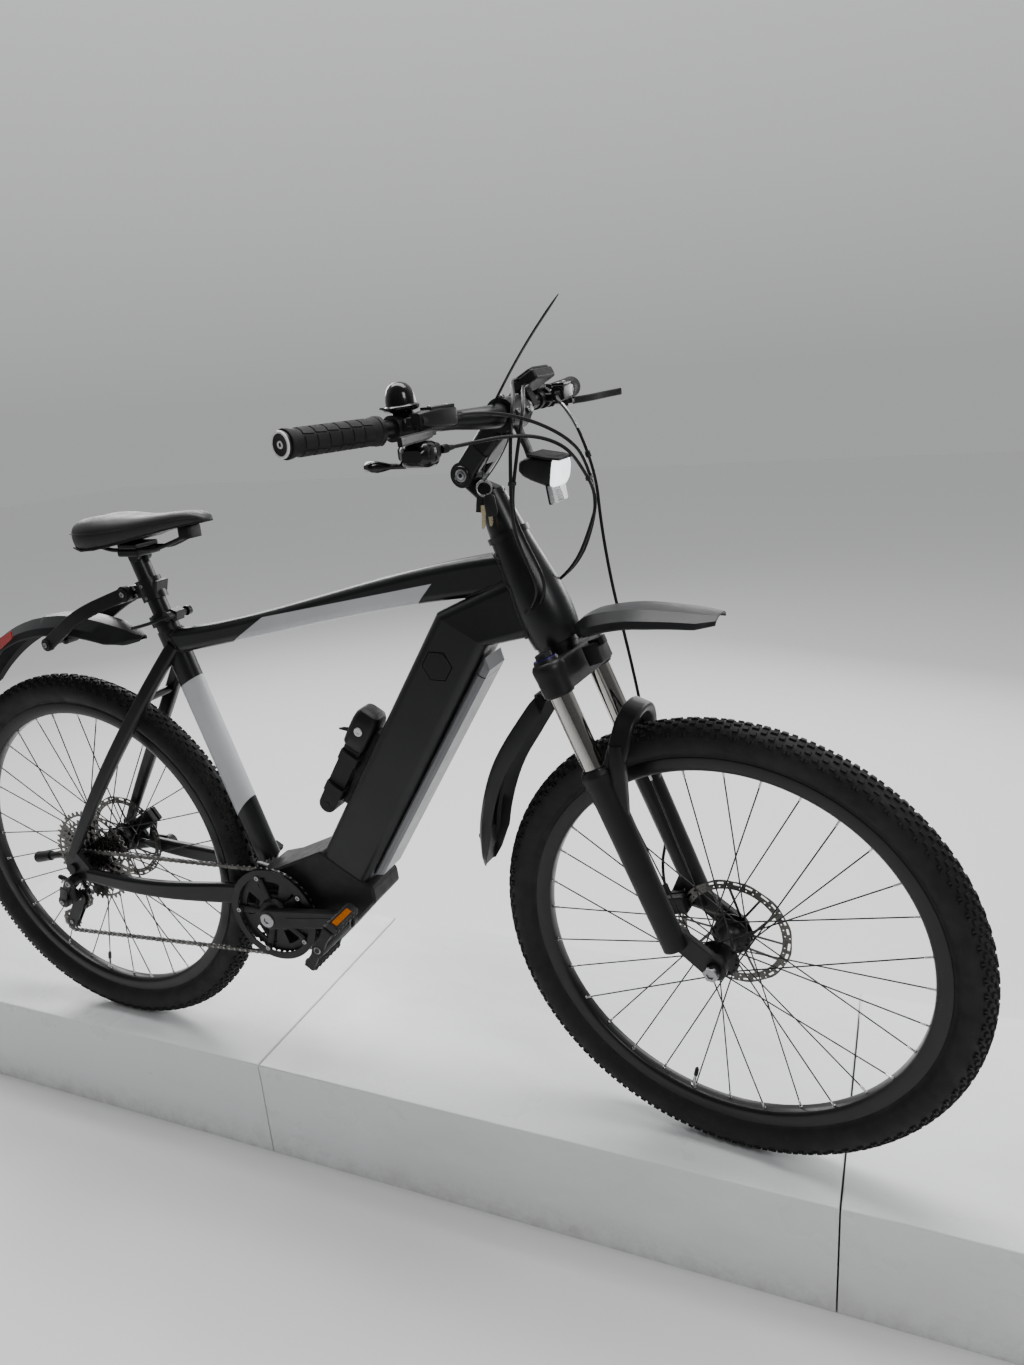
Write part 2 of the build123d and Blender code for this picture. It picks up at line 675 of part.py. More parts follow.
RIGHT_END = BB + CRANK_DIR * CRANK_LENGTH
LEFT_END = BB - CRANK_DIR * CRANK_LENGTH
PEDAL_OUT = 92.0
cranks = joined(
    rod(BB + Vector(0, RIGHT_ARM[0], 0), BB + Vector(0, LEFT_ARM[1], 0), SPINDLE_R),
    crank_arm(1, RIGHT_ARM),
    crank_arm(-1, LEFT_ARM),
    pedal_axle(RIGHT_END, RIGHT_ARM[1], RIGHT_ARM[0] - PEDAL_OUT),
    pedal_axle(LEFT_END, LEFT_ARM[0], LEFT_ARM[1] + PEDAL_OUT),
)
keep(cranks, "crank_arms")

with BuildPart() as chainring:
    with BuildSketch(Plane(origin=(BB.X, CHAIN_Y - 1.5, BB.Z), x_dir=(1, 0, 0), z_dir=(0, 1, 0))):
        Circle(RING_PITCH_R - BITE)
        Circle(SPINDLE_R, mode=Mode.SUBTRACT)
        with PolarLocations(48, 5):
            Circle(15, mode=Mode.SUBTRACT)
    extrude(amount=3)
    guard_plane = Plane(origin=(BB.X, CHAIN_Y - 6.5, BB.Z), x_dir=(1, 0, 0), z_dir=(0, 1, 0))
    with BuildSketch(guard_plane):
        Circle(RING_PITCH_R + 4)
        Circle(RING_PITCH_R - 14, mode=Mode.SUBTRACT)
    extrude(amount=2.4)
    with BuildSketch(guard_plane.offset(1)):
        with PolarLocations(RING_PITCH_R - 11, 5, start_angle=36):
            Circle(6)
    extrude(amount=5)
    with BuildSketch(Plane(origin=(BB.X, RIGHT_ARM[1], BB.Z), x_dir=(1, 0, 0), z_dir=(0, 1, 0))):
        Circle(28)
        Circle(SPINDLE_R, mode=Mode.SUBTRACT)
    extrude(amount=CHAIN_Y - RIGHT_ARM[1])
keep(chainring.part, "chainring")

PEDAL_TILT = 58.0
PEDAL_L, PEDAL_W, PEDAL_T = 94.0, 84.0, 20.0


def pedal(end, side, inner_y):
    """A platform on its axle: a barrel, two end bars and side rails, with an open middle."""
    mid_y = inner_y + side * (6 + PEDAL_W / 2)
    with BuildPart() as made:
        with BuildSketch(Plane(Location((end.X, mid_y, end.Z), (0, -PEDAL_TILT, 0)))):
            RectangleRounded(PEDAL_L, PEDAL_W, 8)
            with Locations((PEDAL_L / 4 - 1, 0), (1 - PEDAL_L / 4, 0)):
                Rectangle(26, PEDAL_W - 20, mode=Mode.SUBTRACT)
        extrude(amount=PEDAL_T / 2, both=True)
    barrel = rod((end.X, mid_y - PEDAL_W / 2, end.Z), (end.X, mid_y + PEDAL_W / 2, end.Z), 13)
    bore = rod((end.X, mid_y - 60, end.Z), (end.X, mid_y + 60, end.Z), PEDAL_AXLE_R + AXLE_CLEAR)
    return less(joined(made.part, barrel), bore)


keep(pedal(RIGHT_END, -1, RIGHT_ARM[0]), "right_pedal")
keep(pedal(LEFT_END, 1, LEFT_ARM[1]), "left_pedal")

# ================================================================ fork
STANCHION_R, LOWER_R = 17.0, 22.0
LEG_BOTTOM, LEG_TOP = 45.0, 332.0


def leg_axis(side, low, high):
    """Ends of a stretch of one fork leg."""
    return head(low, LEG_OFFSET, side * LEG_Y), head(high, LEG_OFFSET, side * LEG_Y)


with BuildPart() as crown:
    with BuildSketch(head_plane(CROWN_LOW)):
        Circle(31)
        with Locations((LEG_OFFSET, LEG_Y), (LEG_OFFSET, -LEG_Y)):
            Circle(24)
        make_hull()
    extrude(amount=CROWN_HIGH - CROWN_LOW)
    fillet(crown.faces().sort_by(Axis.Z)[-1].edges(), 5)
    with BuildSketch(head_plane(CROWN_HIGH - 6)):
        Circle(STEERER_R)
    extrude(amount=HEAD_HIGH + 62 - CROWN_HIGH)
    with BuildSketch(head_plane(CROWN_HIGH)):
        Circle(29)
    extrude(amount=HEAD_LOW - 9.4 - CROWN_HIGH)
    with BuildSketch(head_plane(CROWN_HIGH)):
        with Locations((LEG_OFFSET, LEG_Y), (LEG_OFFSET, -LEG_Y)):
            Circle(19)
    extrude(amount=6, taper=12)
    with BuildSketch(head_plane(CROWN_HIGH + 4)):
        with Locations((LEG_OFFSET, -LEG_Y)):
            Circle(12)
    extrude(amount=10)
STANCHION_TOP = CROWN_HIGH - 4
sockets = [rod(*leg_axis(side, CROWN_LOW - 5, STANCHION_TOP), STANCHION_R) for side in (-1, 1)]
keep(less(crown.part, *sockets), "fork_crown", steers=True)
stanchions = [rod(*leg_axis(side, 190, STANCHION_TOP), STANCHION_R) for side in (-1, 1)]
keep(group(*stanchions), "stanchions", steers=True)

LUG_IN, LUG_OUT = 51.0, 64.0


def fork_leg(side):
    """A lower leg, bored for its stanchion, and its axle lug."""
    foot, top = leg_axis(side, LEG_BOTTOM, LEG_TOP)
    bore = rod(*leg_axis(side, 105, LEG_TOP + 5), STANCHION_R + AXLE_CLEAR)
    collar = rod(*leg_axis(side, LEG_TOP - 16, LEG_TOP), LOWER_R + 2)
    low, high = sorted((side * LUG_IN, side * LUG_OUT))
    with BuildPart() as lug:
        with BuildSketch(Plane(origin=(0, low, 0), x_dir=(-1, 0, 0), z_dir=(0, 1, 0))):
            for centre, radius in ((FRONT_AXLE, 19), (head(66, LEG_OFFSET), 17)):
                with Locations((-centre.X, centre.Z)):
                    Circle(radius)
            make_hull()
        extrude(amount=high - low)
        chamfer(lug.faces().filter_by(Axis.Y).edges(), 2)
    return less(joined(rod(foot, top, LOWER_R - 3, end_radius=LOWER_R), collar, lug.part), bore)


arch_half = [
    head(318, 22, 62), head(352, 52, 60), head(384, 70, 40), head(394, 76, 14), head(394, 76, -14),
]
arch = swept(
    arch_half + [Vector(p.X, -p.Y, p.Z) for p in reversed(arch_half[:-2])],
    6,
    section=(30, 15),
    x_dir=(0, 0, 1),
)
bores = [rod(*leg_axis(side, 105, LEG_TOP + 60), STANCHION_R + AXLE_CLEAR) for side in (-1, 1)]
front_axle_bore = rod(FRONT_AXLE + Vector(0, -90, 0), FRONT_AXLE + Vector(0, 90, 0), AXLE_R)
lowers = less(joined(*sides(fork_leg), arch), *bores, front_axle_bore)
keep(lowers, "fork_lowers", steers=True)

axle_end = FRONT_AXLE + Vector(0, 72, 0)
front_axle = joined(
    rod(FRONT_AXLE + Vector(0, -72, 0), axle_end, AXLE_R),
    rod(FRONT_AXLE + Vector(0, LUG_OUT + 0.2, 0), axle_end, 10),
    rod(FRONT_AXLE + Vector(0, -76, 0), FRONT_AXLE + Vector(0, -LUG_OUT - 0.2, 0), 11),
)
keep(front_axle, "front_axle", steers=True)

caliper_at = head(64, -22)
caliper_turn = HEAD_ANGLE - 90 + 40
BANJO, BANJO_DIR = head(92, -33, 50), (head(70, -27, 40) - head(92, -33, 50)).normalized()
front_caliper = joined(
    caliper(caliper_at, FRONT_ROTOR_Y, -caliper_turn, 24, 52),
    rod(BANJO, BANJO + BANJO_DIR * 16, 4.5),
    block(head(80, -14, 57), (16, 12, 60), 90 - HEAD_ANGLE, soft=1),
)
keep(less(front_caliper, lowers), "front_caliper", steers=True)

# ---------------------------------------------------------------- front mudguard, on the crown
GUARD_W = 88.0


def blade(points, thickness, y_half, radius=0.0):
    """A long thin shell, seen from the side as a band below a line of points."""
    inner = []
    for index, point in enumerate(points):
        before, after = points[max(index - 1, 0)], points[min(index + 1, len(points) - 1)]
        along = (after - before).normalized()
        inner.append(point + Vector(along.Z, 0, -along.X) * thickness)
    outline = [(p.X, p.Z) for p in points + inner[::-1]]
    return plate(outline, -y_half, y_half, soft=radius)


front_tongue = [head(530, 45), head(540, 74), head(531, 130), head(507.5, 188), head(478, 251)]
rear_tongue = [head(213, -300), head(300, -250), head(386, -165), head(442, -94), head(461.9, -44)]
GUARD_LEAN = HEAD_ANGLE - 90  # its brackets stand square to the steering axis
front_blade = joined(blade(front_tongue, 3, GUARD_W / 2), block(head(519, 55), (24, 40, 30), GUARD_LEAN))
rear_blade = joined(blade(rear_tongue, 3, 36), block(head(457.4, -34), (50, 40, 8.6), GUARD_LEAN))
crown_solid = crown.part
keep(
    group(less(front_blade, crown_solid), less(rear_blade, crown_solid)),
    "front_fender",
    steers=True,
)

# ================================================================ stem and handlebar
PIVOT = head(PIVOT_S, PIVOT_OFF)
BAR_R, BAR_CLAMP_R, GRIP_R = 11.1, 15.9, 16.5
with BuildPart() as stem_base:
    with BuildSketch(head_plane(HEAD_HIGH + 9.4)):
        Circle(27)
    with BuildSketch(head_plane(HEAD_HIGH + 70)):
        Circle(21)
    loft()
    with BuildSketch(head_plane(HEAD_HIGH + 69)):
        RectangleRounded(38, 30, 8)
    with BuildSketch(head_plane(PIVOT_S - 16, PIVOT_OFF)):
        RectangleRounded(30, 20, 6)
    loft()
    add(rod(PIVOT + Vector(0, -10, 0), PIVOT + Vector(0, 10, 0), 18))
    add(rod(PIVOT + Vector(0, -26, 0), PIVOT + Vector(0, 26, 0), 6))
steerer_rod = rod(head(CROWN_HIGH), head(HEAD_HIGH + 56), STEERER_R)
keep(less(stem_base.part, steerer_rod, crown_solid), "stem_base", steers=True)

ARM_DIR = (BAR - PIVOT).normalized()
with BuildPart() as stem_arm:
    for y in (-17.5, 17.5):
        add(rod(PIVOT + Vector(0, y - 7, 0), PIVOT + Vector(0, y + 7, 0), 18))
        fork_end = PIVOT + Vector(0, y, 0)
        add(swept([fork_end, fork_end + ARM_DIR * 46], 4, section=(14, 32)))
    arm_plane = Plane(origin=PIVOT + ARM_DIR * 32, x_dir=(0, 1, 0), z_dir=ARM_DIR)
    with BuildSketch(arm_plane):
        RectangleRounded(49, 32, 9)
    with BuildSketch(arm_plane.offset(50)):
        RectangleRounded(40, 38, 9)
    loft()
    add(rod(BAR + Vector(0, -24, 0), BAR + Vector(0, 24, 0), 23))
    hinge_gap = rod(PIVOT + Vector(0, -10.4, 0), PIVOT + Vector(0, 10.4, 0), 30)
    add(hinge_gap, mode=Mode.SUBTRACT)
    add(rod(PIVOT + Vector(0, -40, 0), PIVOT + Vector(0, 40, 0), 6.05), mode=Mode.SUBTRACT)
    add(rod(BAR + Vector(0, -40, 0), BAR + Vector(0, 40, 0), BAR_CLAMP_R), mode=Mode.SUBTRACT)
keep(stem_arm.part, "stem_arm", steers=True)

BEND_IN, BEND_OUT, BAR_TIP = Vector(948, 44, 1158), Vector(917, 100, 1161), Vector(869, 372, 1168)
bar_path = [BAR_TIP, BEND_OUT, BEND_IN]
bar_path += [Vector(p.X, -p.Y, p.Z) for p in reversed(bar_path)]
bar_sleeve = rod(BAR + Vector(0, -32, 0), BAR + Vector(0, 32, 0), BAR_CLAMP_R)
handlebar = joined(swept(bar_path, BAR_R), bar_sleeve)
keep(handlebar, "handlebar", steers=True)

BAR_OUT = (BAR_TIP - BEND_OUT).normalized()  # along the left half, outwards


def bar_at(y, out=Vector(0, 0, 0)):
    """A point on the bar's outer stretch, on the side that y is, moved by out."""
    point = BEND_OUT + BAR_OUT * ((abs(y) - BEND_OUT.Y) / BAR_OUT.Y)
    return Vector(point.X + out.X, math.copysign(point.Y, y) + out.Y, point.Z + out.Z)


def on_bar(y_in, y_out, radius, bore):
    """A sleeve round the bar between two distances from the middle."""
    return rod(bar_at(y_in), bar_at(y_out), radius, bore=bore)


GRIP_IN, GRIP_OUT = 228.0, 368.0
grips = []
for side in (-1, 1):
    sleeve = on_bar(side * (GRIP_IN + 7), side * GRIP_OUT, GRIP_R, BAR_R)
    lock = on_bar(side * GRIP_IN, side * (GRIP_IN + 7), GRIP_R + 1, BAR_R)
    plug = rod(bar_at(side * 372.2), bar_at(side * 374.5), GRIP_R - 1)
    collar = on_bar(side * GRIP_OUT, side * 372.2, GRIP_R - 0.5, BAR_R)
    grips.append(joined(sleeve, lock, joined(collar, plug)))
keep(less(group(*grips), handlebar), "grips", steers=True)

LEVER_PIN = Vector(42, 0, -6)  # from the bar to the brake lever's pin
PERCH_Y, PIN_Y, LEVER_TIP_Y = 200.0, 196.0, 312.0


def perch(side):
    """Clamp and master cylinder of one brake, lying ahead of the bar."""
    clamp = on_bar(side * (PERCH_Y - 7), side * (PERCH_Y + 7), 16, BAR_R)
    at = bar_at(side * PERCH_Y)
    stalk = block(at + Vector(20, -side * 4, 0), (22, 18, 13), soft=3)
    web = block(at + Vector(32, -side * 2, 7), (22, 18, 11), soft=2)
    cylinder = rod(at + Vector(41, side * 8, 8), at + Vector(52, -side * 52, 7), 9.5)
    pin = bar_at(side * PIN_Y, LEVER_PIN)
    lug = rod(pin + Vector(0, 0, 2.9), pin + Vector(0, 0, 12), 9)
    post = rod(pin + Vector(0, 0, -7), pin + Vector(0, 0, 5), 3)
    return less(joined(clamp, stalk, web, cylinder, lug, post), handlebar)


keep(group(*sides(perch)), "brake_perches", steers=True)


def brake_lever(side):
    """A two-finger blade on its pin, curving forward of the grip."""
    pin = bar_at(side * PIN_Y, LEVER_PIN)
    boss = rod(pin + Vector(0, 0, -4.5), pin + Vector(0, 0, 2.5), 9, bore=3.05)
    run = swept(
        [
            pin + Vector(9.5, side * 6, -1),
            pin + Vector(22, side * 40, -1),
            pin + Vector(30, side * 80, 0),
            pin + Vector(42, side * (LEVER_TIP_Y - PIN_Y), 1),
        ],
        2.4,
        section=(5.5, 11),
        x_dir=(0, 1, 0),
    )
    heel = block(pin + Vector(7, side * 2, -1), (10, 12, 6.5), soft=1)
    hole = rod(pin + Vector(0, 0, -9), pin + Vector(0, 0, 9), 3.05)
    return less(joined(boss, run, heel), hole)


keep(brake_lever(-1), "right_brake_lever", steers=True)
keep(brake_lever(1), "left_brake_lever", steers=True)

# shifter on the right, below and ahead of the bar
SHIFT_Y = 170.0
pod_at = bar_at(-SHIFT_Y, Vector(6, 0, -32))
pod = joined(
    on_bar(-SHIFT_Y - 5, -SHIFT_Y + 5, 15.5, BAR_R),
    block(bar_at(-SHIFT_Y, Vector(4, 0, -18)), (12, 10, 16)),
    block(pod_at, (46, 38, 20), soft=6),
)
SHIFT_PIN = pod_at + Vector(-8, 0, -10)
pod = joined(pod, rod(SHIFT_PIN + Vector(0, 0, 0.5), SHIFT_PIN + Vector(0, 0, -9.5), 4))
keep(less(pod, handlebar), "shifter_pod", steers=True)
paddle = joined(
    rod(SHIFT_PIN + Vector(0, 0, -0.4), SHIFT_PIN + Vector(0, 0, -7), 8),
    swept(
        [
            SHIFT_PIN + Vector(-3, -3, -4),
            SHIFT_PIN + Vector(-18, -12, -5),
            SHIFT_PIN + Vector(-34, -30, -3),
            SHIFT_PIN + Vector(-42, -46, -1),
        ],
        2.0,
        section=(13, 4.5),
    ),
)
paddle_hole = rod(SHIFT_PIN, SHIFT_PIN + Vector(0, 0, -12), 4.05)
keep(less(paddle, paddle_hole), "shift_lever", steers=True)

# bell: a dome on a short post, with its clamp
BELL_Y = 150.0
bell_at = bar_at(-BELL_Y, Vector(-6, -34, 24))
with BuildPart() as dome:
    with BuildSketch(Plane(origin=bell_at, x_dir=(1, 0, 0), z_dir=(0, -1, 0))):
        with BuildLine():
            Polyline((0, 32), (0, 35.5), (10, 33.5), (17, 25), (19.5, 13), (19.5, 0), (17.5, 0), (17.5, 13))
            Polyline((17.5, 13), (15.5, 23.5), (9, 30.5), (0, 32))
        make_face()
    revolve(axis=Axis(bell_at, (0, 0, 1)))
bell_dome = dome.part
bell_post = rod(bar_at(-BELL_Y, Vector(-6, 0, 8)), bell_at + Vector(0, 0, 33.5), 4)
bell_clamp = on_bar(-BELL_Y - 6, -BELL_Y + 6, 14.5, BAR_R)
keep(less(joined(bell_dome, bell_post, bell_clamp), handlebar), "bell", steers=True)

# display on a clamp left of the stem, with its remote by the left grip
display_at = Vector(946, 84, 1196)
display = joined(
    block(display_at, (44, 62, 16), -28, soft=4),
    block(display_at + Vector(-10, -2, -22), (14, 16, 36), -28),
)
remote_y = 164.0
remote = joined(
    on_bar(remote_y - 6, remote_y + 6, 14, BAR_R),
    block(bar_at(remote_y, Vector(-6, 4, 16)), (34, 30, 12), -20, soft=3),
)
keep(group(less(display, handlebar), less(remote, handlebar)), "display_unit", steers=True)

# headlight on a bracket under the bar clamp
LAMP = Vector(1000, 0, 1082)
with BuildPart() as lamp:
    lamp_plane = Plane(origin=LAMP - Vector(34, 0, -6), x_dir=(0, 1, 0), z_dir=(0.985, 0, -0.17))
    with BuildSketch(lamp_plane):
        RectangleRounded(28, 24, 8)
    with BuildSketch(lamp_plane.offset(26)):
        RectangleRounded(50, 40, 10)
    with BuildSketch(lamp_plane.offset(58)):
        RectangleRounded(52, 40, 8)
    loft()
lamp_bracket = swept(
    [LAMP + Vector(-22, 0, 8), LAMP + Vector(-28, 0, 34), LAMP + Vector(-36, 0, 58)],
    2,
    section=(16, 6),
    x_dir=(0, 1, 0),
)
reflector = block(LAMP + Vector(14, 0, -32), (8, 44, 26), 8, soft=2)
reflector_tab = block(LAMP + Vector(8, 0, -22), (14, 16, 16), 8)
headlight = less(joined(lamp.part, lamp_bracket, reflector, reflector_tab), stem_arm.part, handlebar)
keep(headlight, "headlight", steers=True)

# ================================================================ seat and rear mudguard
with BuildPart() as saddle:
    for x, width, height, z, corner in (
        (134, 76, 28, 1010, 13), (158, 132, 46, 1010, 19), (205, 144, 47, 1011, 20),
        (265, 96, 44, 1012, 18), (325, 54, 38, 1018, 16), (372, 42, 30, 1022, 13),
        (400, 22, 16, 1021, 7),
    ):
        with BuildSketch(Plane(origin=(x, 0, z), x_dir=(0, 1, 0), z_dir=(1, 0, 0))):
            RectangleRounded(width, height, corner)
    loft()
keep(saddle.part, "saddle_pad")
RAIL_Y, RAIL_Z, RAIL_R = 22.0, 975.0, 3.5
rails = []
for side in (-1, 1):
    rails.append(
        swept(
            [
                (352, side * 10, 996), (322, side * 14, 985), (290, side * RAIL_Y, RAIL_Z),
                (196, side * RAIL_Y, RAIL_Z), (172, side * 27, 984), (158, side * 32, 994),
            ],
            RAIL_R,
        )
    )
keep(less(group(*rails), saddle.part), "saddle_rails")

POST_R, POST_DOWN, POST_UP = 15.9, -190.0, 104.0
CLAMP_AT = Vector(236, 0, RAIL_Z)
post_head = joined(
    rod(seat(POST_DOWN), seat(POST_UP), POST_R),
    rod(CLAMP_AT + Vector(0, -17, -12), CLAMP_AT + Vector(0, 17, -12), 11),
    block(CLAMP_AT + Vector(0, 0, -5), (46, 56, 12), soft=3),
    block(CLAMP_AT + Vector(0, 0, 6.5), (40, 56, 9), soft=2.5),
    rod(CLAMP_AT + Vector(-14, 0, -24), CLAMP_AT + Vector(-14, 0, 10), 3.5),
    rod(CLAMP_AT + Vector(14, 0, -24), CLAMP_AT + Vector(14, 0, 10), 3.5),
)
ARM_TOP, ARM_LOW = Vector(205, 0, 898), Vector(30, 0, 809)
ARM_PIN_R = 5.0
bracket = joined(
    rod(seat(24), seat(62), 22),
    block(Vector(228, 0, 900), (40, 26, 24), -6, soft=3),
    rod(ARM_TOP + Vector(0, -13, 0), ARM_TOP + Vector(0, 13, 0), 11),
    rod(ARM_TOP + Vector(0, -27, 0), ARM_TOP + Vector(0, 27, 0), ARM_PIN_R),
    block(seat(43, -21), (8, 30, 22), 18, soft=2),
)
bare_post = rod(seat(POST_DOWN), seat(POST_UP), POST_R)
post_head = less(post_head, *rails)
keep(group(post_head, less(bracket, bare_post)), "seatpost")

seat_ring = joined(
    rod(seat(-22), seat(-2), 24.5, bore=19.5),
    less(block(seat(-12, -30), (16, 24, 18), 17.5, soft=2), rod(seat(-30), seat(6), 20)),
    rod(seat(-12, -32, -21), seat(-12, -32, 21), 5),
    rod(seat(-12, -32, 21), seat(-12, -32, 29), 8.5),
)
quick_lever = swept(
    [seat(-12, -32, -24), seat(-12, -8, -33), seat(-11, 16, -38), seat(-9, 38, -39)],
    2.5,
    section=(11, 6),
)
seat_ring = joined(seat_ring, rod(seat(-12, -32, -20), seat(-12, -32, -29), 8), quick_lever)
keep(less(seat_ring, seat_solid, rod(seat(-30), seat(10), 19.5)), "seat_collar")


ARM_TOP_Y, ARM_LOW_Y = 20.0, 50.0


def arm_bar(side):
    """One bar of the arm, splayed so that it passes outside the blade."""
    top, low = ARM_TOP + Vector(0, side * ARM_TOP_Y, 0), ARM_LOW + Vector(0, side * ARM_LOW_Y, 0)
    knee = Vector(118, side * ARM_LOW_Y, 866)
    bar = swept([top, knee, low], 2.5, section=(7, 24))
    bosses = [
        rod(end + Vector(0, -4, 0), end + Vector(0, 4, 0), radius)
        for end, radius in ((top, 14), (low, 12))
    ]
    return joined(bar, *bosses)


PIN_REACH = Vector(0, 60, 0)
arm_pins = [rod(c - PIN_REACH, c + PIN_REACH, ARM_PIN_R + AXLE_CLEAR) for c in (ARM_TOP, ARM_LOW)]
arm_web = block(Vector(172, 0, 882), (14, 60, 12), -27, soft=2)
keep(less(joined(*sides(arm_bar), arm_web), *arm_pins), "rear_fender_arm")

tail = [
    Vector(x, 0, z)
    for x, z in (
        (-254, 700), (-200, 756), (-133, 806), (-50, 843), (46, 857), (150, 843), (213, 818),
    )
]
tail_light = block(Vector(-236, 0, 742), (12, 44, 30), -42, soft=3)
blade_lug = joined(
    rod(ARM_LOW + Vector(0, -13, 0), ARM_LOW + Vector(0, 13, 0), 10),
    rod(ARM_LOW + Vector(0, -55, 0), ARM_LOW + Vector(0, 55, 0), ARM_PIN_R),
    block(Vector(30, 0, 833), (26, 24, 44), soft=2),
)
rear_blade_shell = blade(tail, 3, 42)
rear_guard = joined(rear_blade_shell, blade_lug, block(Vector(-226, 0, 733), (16, 30, 16), -42))
keep(group(rear_guard, less(tail_light, rear_guard)), "rear_fender_blade")

# ---------------------------------------------------------------- folding lock on the down tube
LOCK_MID, LOCK_L = down(172, -32), 205.0
lock_body = block(LOCK_MID, (LOCK_L, 46, 40), -math.degrees(SLOPE), soft=8)
lock_mount = block(down(172, -6), (150, 26, 12), -math.degrees(SLOPE), soft=2)
lock_strap = block(LOCK_MID + DOWN_DIR * 30, (22, 50, 44), -math.degrees(SLOPE), soft=3)
folding_lock = group(less(joined(lock_mount, lock_strap), lock_body, down_solid), lock_body)
keep(folding_lock, "folding_lock")

# ================================================================ hoses and wires
HOSE_R = 2.5


def hose(points):
    """A round hose along a route of runs and tangent arcs."""
    made = swept(points, HOSE_R)
    print("hose", round(made.volume / (math.pi * HOSE_R**2)), "mm long")
    return made


def steered(x, y, z):
    """A place on the straight-ahead fork, as it stands at the rest angle."""
    return Vertex(x, y, z).rotate(STEER_AXIS, STEER_AT_REST).center()


def onward(route, length):
    """The point that far beyond a route's end, in line with its last run."""
    end, before = Vector(route[-1]), Vector(route[-2])
    return end + (end - before).normalized() * length


# the three clips that bunch the hoses, with the fork straight ahead
CLIP_LEFT, CLIP_RIGHT = Vector(1043, 43, 1063), Vector(974, -54, 1071)
CLIP_FRONT = Vector(1012, 112, 1086)
PAIR = Vector(0, 4.3, 0)  # half the spacing of two hoses in a clip
PERCH_END = bar_at(PERCH_Y) + Vector(52, -52, 7)
right_end = Vector(PERCH_END.X, -PERCH_END.Y, PERCH_END.Z)
right_brake = [
    right_end, (958, -118, 1170), (966, -88, 1167), (982, -54, 1160), (1004, -20, 1145),
    (1026, 14, 1122), (1040, 38, 1094), CLIP_LEFT + PAIR,
]
gear_wire = [
    (932, -150.8, 1131), (936, -126, 1131), (948, -94, 1132), (972, -60, 1134), (1001, -28, 1130),
    (1024, 3, 1114), (1036, 24, 1090), CLIP_LEFT - PAIR,
]
display_wire = [
    (952, 52.8, 1191), (957, 34, 1191), (968, 10, 1187), (980, -14, 1172), (985, -36, 1142),
    (981, -48, 1106), CLIP_RIGHT + PAIR,
]
remote_wire = [
    (938, 52.8, 1199), (941, 36, 1200), (952, 10, 1198), (968, -18, 1185), (976, -42, 1158),
    (976, -55, 1116), CLIP_RIGHT - PAIR,
]
front_upper = [PERCH_END, (962, 122, 1167), (984, 110, 1150), (1003, 108, 1120), CLIP_FRONT]
uppers = [hose(route) for route in (right_brake, gear_wire, display_wire, remote_wire, front_upper)]
ends_in = (handlebar, stem_arm.part, *sides(perch), pod, display, remote)
# a cable tie drawn round the bar beside the stem, its long tail standing up
TIE_AT, TIE_TAIL = BAR + Vector(-2, -38, 0), Vector(113, 0, 132)
tie_band = rod(TIE_AT - Vector(0, 2, 0), TIE_AT + Vector(0, 2, 0), BAR_R + 1.6, bore=BAR_R)
tie_root = TIE_AT + Vector(-1, 0, BAR_R + 3.6)
tie_head = block(tie_root, (6, 6, 5), soft=1)
tie_tail = swept([tie_root, tie_root + TIE_TAIL], 0.5, section=(3.6, 1.3))
cable_tie = joined(tie_band, tie_head, tie_tail)
upper_hoses = less(group(*uppers, cable_tie), *ends_in, handlebar)
keep(upper_hoses, "upper_hoses", steers=True)


def below_clip(route, rest, turned_too=True):
    """A route that carries on from an upper one through its clip."""
    begin = [Vector(route[-1]), onward(route, 34)]
    if turned_too:
        begin = [steered(*point) for point in begin]
    return begin + rest


right_brake_rest = [(1046, 30, 992), (1028, 34, 952), (998, 37, 921), (966, 30, 902)]
gear_rest = [(1044, 20.5, 988), (1024, 24, 948), (992, 27, 916), (962, 21, 897)]
display_rest = [(970, -50, 1000), (985, -47, 965), (998, -45, 934), (995, -42, 908), (978, -30, 888)]
remote_rest = [(966, -60, 998), (978, -57, 962), (990, -55, 931), (986, -49, 906), (968, -36, 886)]
into_frame = (
    (right_brake, right_brake_rest),
    (gear_wire, gear_rest),
    (display_wire, display_rest),
    (remote_wire, remote_rest),
)
lower_hoses = [hose(below_clip(upper, rest)) for upper, rest in into_frame]
keep(less(group(*lower_hoses), head_outer), "lower_hoses")

front_rest = [
    head(660, 88, 114), head(600, 72, 112), head(545, 60, 110), head(485, 50, 108),
    head(424, 40, 104), head(360, 28, 99), head(300, 16, 94), head(240, 4, 92.5), head(185, -4, 91),
    head(146, -20, 84), head(116, -36, 70), BANJO,
]
front_route = below_clip(front_upper, front_rest, turned_too=False)
keep(hose(front_route), "front_brake_hose", steers=True)
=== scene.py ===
"""Looks of the bicycle on its display plinth: materials, and the detailed pieces that CAD keeps plain."""

import json
import math

import bmesh
import bpy
from mathutils import Matrix, Quaternion, Vector
from mathutils.bvhtree import BVHTree


